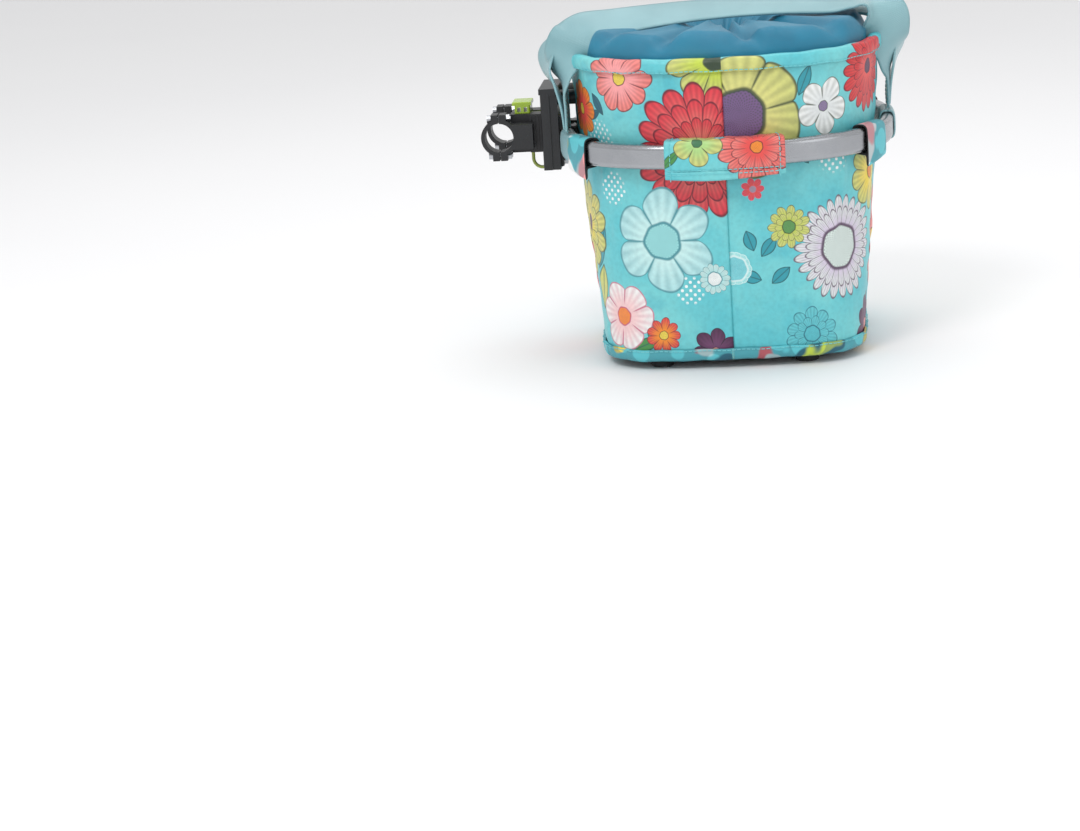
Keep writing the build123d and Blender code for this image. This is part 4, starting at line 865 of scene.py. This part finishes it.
# %% [markdown]
# ## The drawn-up collar
# The lining cloth rises inside the hem as a low dome and gathers to the mouth. Pleats grow
# deeper towards the middle, where the cloth is bunched. Simulating a drawstring is slow and
# hard to steer, so rings are laid from the rim to the mouth, and creases are pressed into them.

# %% Collar
COLLAR_ROWS = 60
TURNS = 720
RIM_SHARE, CREST_SHARE = 0.16, 0.55  # of the rows: up inside the hem, then in to the crest
crest = (0.112, 0.116, 0.018, 0.022, 0.084)
mouth = (0.030, 0.024, 0.004, 0.004, 0.014)
rim_ring, _ = outline(level(0.256), -0.0085, TURNS)
crest_ring, _ = outline(crest, 0.0, TURNS)
mouth_ring, _ = outline(mouth, 0.0, TURNS)
angle = np.arange(TURNS) / TURNS * 2 * pi
# Each crease: where it is round the collar, how wide and how deep it is, and how it slants.
CREASES = [(-0.42, 0.05, 1.0, 0.10), (0.30, 0.045, 0.9, -0.25),
           (-0.95, 0.06, 0.7, 0.2), (0.02, 0.05, 0.45, 0.3)]
CREASES += [(0.85 + 0.46 * k + rng.uniform(-0.12, 0.12), rng.uniform(0.035, 0.07),
             rng.uniform(0.5, 1.0), rng.uniform(-0.3, 0.3)) for k in range(9)]


def crease_depth(share):
    """How deep the creases run round the collar, share of the way in from the rim."""
    total = np.zeros(TURNS)
    for centre, width, deep, slant in CREASES:
        away = (angle - centre - slant * share + pi) % (2 * pi) - pi
        spread = width * (1 + 0.6 * share)
        total += deep * (bump(away, 0, spread) - 0.35 * bump(away, 2.2 * spread, 1.5 * spread))
    return total


rows = []
for t in np.linspace(0, 1, COLLAR_ROWS):
    if t < RIM_SHARE:
        height, ring = 0.2485 + 0.0145 * (t / RIM_SHARE), rim_ring
    elif t < CREST_SHARE:
        share = (t - RIM_SHARE) / 0.39
        height = 0.263 + 0.0180 * sin(share * pi / 2)
        ring = rim_ring + (crest_ring - rim_ring) * (1 - cos(share * pi / 2)) ** 0.8
    else:
        share = (t - CREST_SHARE) / 0.45
        height = 0.2810 + 0.0008 * sin(share * pi) - 0.016 * max(0.0, share - 0.72) / 0.28
        ring = crest_ring * (1 - share) + mouth_ring * share
    depth = smooth_step(0.14, 0.60, t)
    crease = crease_depth(t)
    gather = smooth_step(0.55, 0.95, t) * np.abs(np.sin(angle * 13 + 1.5 * np.sin(angle * 3)))
    soft = np.sin(angle * 7 + 5 * t + np.sin(angle * 3)) + 0.6 * np.sin(angle * 15 - 8 * t)
    up = depth * (-0.0075 * np.maximum(crease, -0.3) - 0.0030 * gather + 0.0008 * soft)
    pull = 1 - depth * (0.055 * np.maximum(crease, -0.25) + 0.004 * soft)
    rows.append(np.c_[ring * pull[:, None], height + np.minimum(up, 0.0030)])
collar = np.array(rows)
round_way, in_way = np.arange(TURNS) / TURNS * 0.9, np.linspace(0, 0.13, COLLAR_ROWS)
collar_uv = np.stack(np.meshgrid(round_way, in_way), axis=2)
piece = cloth("collar_gathered", collar, collar_uv, 0.0008, [lining_cloth], closed=True)
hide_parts("drawstring_collar")
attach(piece, "basket")
print("collar", len(piece.data.polygons), "faces")

# %% [markdown]
# ## Loops and sleeves on the hoop
# A profile drawn round the tube is carried along the hoop. A curve with a bevel object could
# do that, but here the profile may change on the way, which lets the cloth swell and wave. The
# corner loops hang below the tube and show their black lining; the sleeves end in a sewn edge.

# %% Along the hoop
HOOP, HOOP_LONG = hoop_line()
HOOP_SPOTS = np.arange(len(HOOP)) / len(HOOP) * HOOP_LONG
HOOP_OUTS = np.roll(HOOP, -1, axis=0) - np.roll(HOOP, 1, axis=0)
HOOP_OUTS = np.c_[HOOP_OUTS[:, 1], -HOOP_OUTS[:, 0]] / np.hypot(*HOOP_OUTS.T)[:, None]


def hoop_at(spot):
    """A point on the hoop and its outward direction, spot metres from the right side's middle."""
    k = (spot % HOOP_LONG) / HOOP_LONG * len(HOOP)
    a, share = int(k) % len(HOOP), k - int(k)
    b = (a + 1) % len(HOOP)
    return HOOP[a] * (1 - share) + HOOP[b] * share, HOOP_OUTS[a]


def carried(profile_at, spots):
    """A grid from profiles of (out, up) carried along the hoop, from share -1 to share 1."""
    grid = []
    for k, spot in enumerate(spots):
        centre, out = hoop_at(spot)
        share = 2 * k / (len(spots) - 1) - 1
        grid.append([[*(centre + out * reach), HOOP_Z + up] for reach, up in profile_at(share)])
    return np.array(grid).transpose(1, 0, 2)


def oval(out, up, power, angles):
    """A rounded oblong round the tube."""
    c, s = np.cos(angles), np.sin(angles)
    return np.c_[out * np.sign(c) * np.abs(c) ** power, up * np.sign(s) * np.abs(s) ** power]


GRIP_HALF = 0.049
for side_name, middle, spin in (("right", 0.0, 1), ("left", HOOP_LONG / 2, -1)):
    def sleeve_profile(share):
        wave = 0.00035 * np.sin(share * 9 + 1) + 0.0002 * np.sin(share * 23)
        end = 0.0004 * bump(abs(share), 0.93, 0.05)
        angles = np.linspace(radians(172), radians(-30), 34)
        top = oval(0.0094 + wave + end, 0.0150 + wave, 0.42, angles)
        low = -0.0185 - 0.0014 * np.cos(share * 2.5 + 0.6 * spin)
        tail = [(0.0094 + wave, -0.0110), (0.0093 + wave, -0.0140), (0.0090 + wave, low + 0.0020),
                (0.0088, low)]
        return np.array([*top, *tail])

    spots = np.linspace(middle - GRIP_HALF, middle + GRIP_HALF, 90)
    grid = carried(sleeve_profile, spots)
    seen = np.r_[0, np.cumsum(np.linalg.norm(np.diff(grid[:, 0], axis=0), axis=1))]
    across, along = np.meshgrid(spots - middle, 0.034 - seen)
    uv = np.stack([across, along], axis=2)[::-1]
    piece = cloth(f"sleeve_{side_name}", grid[::-1], uv, 0.0010, [sleeve_print, black_cloth], inner=1)
    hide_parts(f"grip_sleeve_{side_name}")
    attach(piece, "basket")
    out_by = normals_of(grid[::-1], False)[::-1] * 0.0004
    edge = grid + out_by
    stitches(f"sleeve_stitches_{side_name}",
             [edge[3:, 4], edge[3:, -5], edge[-3, 3:-3], edge[-3, 3:-3] + [0, 0, 0.0034]])

# %% Corner loops
LOOP_ANGLE, LOOP_HALF = radians(31), 0.0145
LOOP_SPOTS = {}
for k, spot in enumerate(HOOP_SPOTS):
    centre, out = hoop_at(spot)
    for end_name, end in (("rear", -1), ("front", 1)):
        for side_name, side in (("right", -1), ("left", 1)):
            aim = np.array([end * cos(LOOP_ANGLE), side * sin(LOOP_ANGLE)])
            key = (end_name, side_name)
            fit = float(out @ aim)
            if fit > LOOP_SPOTS.get(key, (0, 0))[0]:
                LOOP_SPOTS[key] = (fit, spot)

for (end_name, side_name), (fit, spot) in LOOP_SPOTS.items():
    lean = 1 if (end_name == "rear") == (side_name == "right") else -1

    def loop_profile(share):
        drop = 0.0195 + 0.0030 * share * lean
        swell = 0.0006 * np.cos(share * 1.3)
        keys = [(-0.0100, 0.0060), (-0.0072, 0.0112), (-0.0030, 0.0130), (0.0035, 0.0130),
                (0.0068 + swell, 0.0105), (0.0078 + swell, 0.0040), (0.0080 + swell, -0.0060),
                (0.0078 + swell, -drop + 0.0030), (0.0070, -drop), (0.0056, -drop + 0.0020),
                (0.0050, -0.0138), (0.0010, -0.0130), (-0.0050, -0.0122), (-0.0090, -0.0080),
                (-0.0102, -0.0020)]
        return spline(keys, np.linspace(0, len(keys) - 1, 64))

    spots = np.linspace(spot - LOOP_HALF, spot + LOOP_HALF, 26)
    grid = carried(loop_profile, spots)
    seen = np.linspace(0, 0.085, grid.shape[0])
    across, along = np.meshgrid(spots - spot + (0.1 if end_name == "rear" else 0.0), seen)
    uv = np.stack([across, along], axis=2)[::-1]
    piece = cloth(f"loop_{end_name}_{side_name}", grid[::-1], uv, 0.0014, [loop_print, black_cloth],
                  inner=1, rim=1)
    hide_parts(f"corner_loop_{end_name}_{side_name}")
    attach(piece, "basket")
print("loops at", {key: round(value[1], 3) for key, value in LOOP_SPOTS.items()})

# %% [markdown]
# ## The strap
# One band of webbing runs from a loop on the rear of the hoop, up and over the bag, and down
# to a loop on the front. Each end turns as it rises, so it shows its edge near the hoop and
# its flat face near the top. A path with a tilt could twist a strip too. Stations that each
# give a place and the direction of the width are easier to steer one by one.

# %% Strap
STRAP_HALF, STRAP_THICK, STRAP_COLUMNS = 0.019, 0.0018, 15
STRAP_ENDS = {"rear": (-1, -0.0535), "front": (1, 0.0)}  # which end of the hoop, and where across it


def ribbon(name, stations, count, cup):
    """A band through stations, each a place, the direction of its width and a share of its width."""
    places = np.array([s[0] for s in stations], dtype=float)
    widths = np.array([s[1] for s in stations], dtype=float)
    scale = np.array([s[2] for s in stations])[:, None]
    spots = np.linspace(0, len(stations) - 1, count)
    centre, wide, size = spline(places, spots), spline(widths, spots), spline(scale, spots)
    along = np.gradient(centre, axis=0)
    along /= np.linalg.norm(along, axis=1, keepdims=True)
    wide -= along * np.sum(wide * along, axis=1, keepdims=True)
    wide /= np.linalg.norm(wide, axis=1, keepdims=True)
    face = np.cross(wide, along)
    columns = np.linspace(-1, 1, STRAP_COLUMNS)
    run = np.r_[0, np.cumsum(np.linalg.norm(np.diff(centre, axis=0), axis=1))]
    grid = np.array([centre + wide * STRAP_HALF * c * size + face * (cup * (1 - c * c)) for c in columns])
    uv = np.stack(np.meshgrid(run, columns * STRAP_HALF), axis=2)
    piece = cloth(name, grid, uv, STRAP_THICK, [webbing])
    return piece, grid, float(run[-1])


# %% Stations of the strap
strap_stations = [
    ((-0.1364, -0.0535, 0.1960), (0, -1, 0), 0.98),
    ((-0.1364, -0.0535, 0.2150), (0, -1, 0), 0.98),
    ((-0.1370, -0.0540, 0.2320), (0.05, -1, 0), 0.98),
    ((-0.1390, -0.0560, 0.2470), (0.6, -0.8, 0), 0.92),
    ((-0.1360, -0.0580, 0.2610), (1, -0.3, 0.03), 1.0),
    ((-0.1280, -0.0580, 0.2740), (1, -0.2, -0.1), 1.08),
    ((-0.1160, -0.0500, 0.2830), (0.7, -0.7, -0.45), 1.05),
    ((-0.0940, -0.0440, 0.2850), (0.2, -1.0, -0.55), 1.0),
    ((-0.0500, -0.0370, 0.2885), (0.05, -1.0, -0.42), 1.0),
    ((0.0000, -0.0300, 0.2905), (0, -1.0, -0.34), 1.0),
    ((0.0500, -0.0230, 0.2900), (-0.05, -1.0, -0.30), 1.0),
    ((0.0920, -0.0170, 0.2880), (-0.05, -1.0, -0.30), 1.0),
    ((0.1130, -0.0150, 0.2880), (-0.35, -1.0, -0.1), 1.05),
    ((0.1290, -0.0150, 0.2850), (-0.9, -0.6, 0.30), 1.2),
    ((0.1390, -0.0150, 0.2740), (-1.0, -0.2, 0.30), 1.25),
    ((0.1430, -0.0130, 0.2590), (-1.0, -0.3, 0.15), 1.05),
    ((0.1440, -0.0080, 0.2430), (-0.6, -0.9, 0), 0.95),
    ((0.1425, -0.0020, 0.2270), (-0.1, -1, 0), 0.98),
    ((0.1415, 0.0000, 0.2100), (0, -1, 0), 0.98),
    ((0.1415, 0.0000, 0.1960), (0, -1, 0), 0.98),
]
slack_stations = {
    "rear": [
        ((-0.1385, -0.0500, 0.1960), (0, -1, 0), 0.95),
        ((-0.1405, -0.0480, 0.2150), (0, -1, 0), 0.95),
        ((-0.1460, -0.0450, 0.2320), (0.1, -1, 0), 0.97),
        ((-0.1530, -0.0420, 0.2480), (0.3, -1, 0), 0.97),
        ((-0.1520, -0.0400, 0.2630), (0.5, -1, 0.1), 0.97),
        ((-0.1400, -0.0390, 0.2740), (0.5, -1, 0.2), 0.95),
        ((-0.1200, -0.0370, 0.2775), (0.2, -1, -0.1), 0.95),
        ((-0.0980, -0.0350, 0.2790), (0.1, -1, -0.3), 0.95),
    ],
    "front": [
        ((0.1440, 0.0030, 0.1960), (0, -1, 0), 0.95),
        ((0.1460, 0.0060, 0.2150), (0, -1, 0), 0.95),
        ((0.1500, 0.0100, 0.2320), (-0.1, -1, 0), 0.97),
        ((0.1550, 0.0130, 0.2500), (-0.3, -1, 0), 0.97),
        ((0.1520, 0.0140, 0.2660), (-0.5, -1, 0), 0.97),
        ((0.1380, 0.0130, 0.2780), (-0.5, -1, -0.2), 0.95),
        ((0.1180, 0.0100, 0.2830), (-0.2, -1, -0.2), 0.95),
        ((0.0950, 0.0060, 0.2840), (-0.1, -1, -0.25), 0.95),
    ],
}
# %% Band, slack and loops
strap, strap_grid, strap_long = ribbon("strap_band", strap_stations, 260, cup=0.0012)
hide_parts("shoulder_strap")
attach(strap, "basket")
for title, stations in slack_stations.items():
    piece, *_ = ribbon(f"strap_slack_{title}", stations, 120, cup=-0.0010)
    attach(piece, "basket")
for title, (x_sign, y_mid) in STRAP_ENDS.items():
    ring = []
    loop = oval(0.0072, 0.0128, 0.6, np.linspace(0, 2 * pi, 49) + pi / 2)
    for y in np.linspace(y_mid - STRAP_HALF, y_mid + STRAP_HALF, STRAP_COLUMNS):
        near = np.argmin(np.abs(HOOP[:, 1] - y) + 10 * (np.sign(HOOP[:, 0]) != x_sign))
        ring.append([[HOOP[near][0] + x_sign * a, y, HOOP_Z + b] for a, b in loop])
    grid = np.array(ring)
    if x_sign > 0:
        grid = grid[::-1]
    across = np.linspace(-STRAP_HALF, STRAP_HALF, STRAP_COLUMNS)
    uv = np.stack(np.meshgrid(np.linspace(0, 0.07, 49), across), axis=2)
    piece = cloth(f"strap_loop_{title}", grid, uv, 0.0016, [webbing])
    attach(piece, "basket")
edge_lines = [strap_grid[c] + normals_of(strap_grid, False)[c] * 0.0003 for c in (1, STRAP_COLUMNS - 2)]
stitches("strap_stitches", edge_lines, 0.0036, 0.0024, 0.00030)
print("strap", round(strap_long, 3), "m long")

# %% [markdown]
# ## Floor, light and camera
# A pale floor just under the feet, three soft round lights and a pale world around them. The
# camera stands well back with a long lens, a little above the bag and tilted slightly.

# %% Stage
FLOOR_Z, FLOOR_HALF = -0.0092, 6  # just under the feet
corners = [(x * FLOOR_HALF, y * FLOOR_HALF, FLOOR_Z) for x, y in ((-1, -1), (1, -1), (1, 1), (-1, 1))]
floor = mesh_object("floor", corners, [(0, 1, 2, 3)])
floor.data.materials.append(solid("pale_floor", (243, 243, 244), (238, 238, 240), 8.0, 0.7, 0.05, 0.02))


def area_light(name, spot, aim, power, size):
    """A round soft light at spot that faces aim."""
    data = bpy.data.lights.new(name, "AREA")
    data.energy, data.shape, data.size = power, "DISK", size
    light = bpy.data.objects.new(name, data)
    bpy.context.scene.collection.objects.link(light)
    light.location = spot
    light.rotation_euler = (Vector(aim) - Vector(spot)).to_track_quat("-Z", "Y").to_euler()


area_light("key", (-0.8, -1.5, 1.9), (0, 0, 0.12), 17, 0.8)
area_light("fill", (1.6, -1.3, 0.9), (0, 0, 0.12), 5, 1.4)
area_light("top", (0.1, 0.5, 2.0), (0, 0, 0.15), 11, 1.6)
print("three lights over a floor at", FLOOR_Z)
world = bpy.data.worlds.new("studio")
world.use_nodes = True
world.node_tree.nodes["Background"].inputs["Color"].default_value = (1, 1, 1, 1)
world.node_tree.nodes["Background"].inputs["Strength"].default_value = 0.8
bpy.context.scene.world = world
bpy.context.scene.view_settings.view_transform = "Standard"

# %% Camera
CAMERA_AT = Vector((0.0471, -2.3408, 0.5375))
AZIMUTH, ELEVATION, ROLL = radians(5.625), radians(14.613), radians(-3.672)
SENSOR, LENS = 36.0, 87.92
back = Vector((sin(AZIMUTH) * cos(ELEVATION), -cos(AZIMUTH) * cos(ELEVATION), sin(ELEVATION)))
level_right = Vector((cos(AZIMUTH), sin(AZIMUTH), 0))
level_up = back.cross(level_right)
right = level_right * cos(ROLL) + level_up * sin(ROLL)
up = level_up * cos(ROLL) - level_right * sin(ROLL)
camera = bpy.data.objects.new("camera", bpy.data.cameras.new("camera"))
bpy.context.scene.collection.objects.link(camera)
camera.matrix_world = Matrix((right, up, back)).transposed().to_4x4()
camera.location = CAMERA_AT
camera.data.sensor_width, camera.data.lens = SENSOR, LENS
bpy.context.scene.camera = camera
print("camera at", [round(x, 3) for x in CAMERA_AT], "with a lens of", LENS)
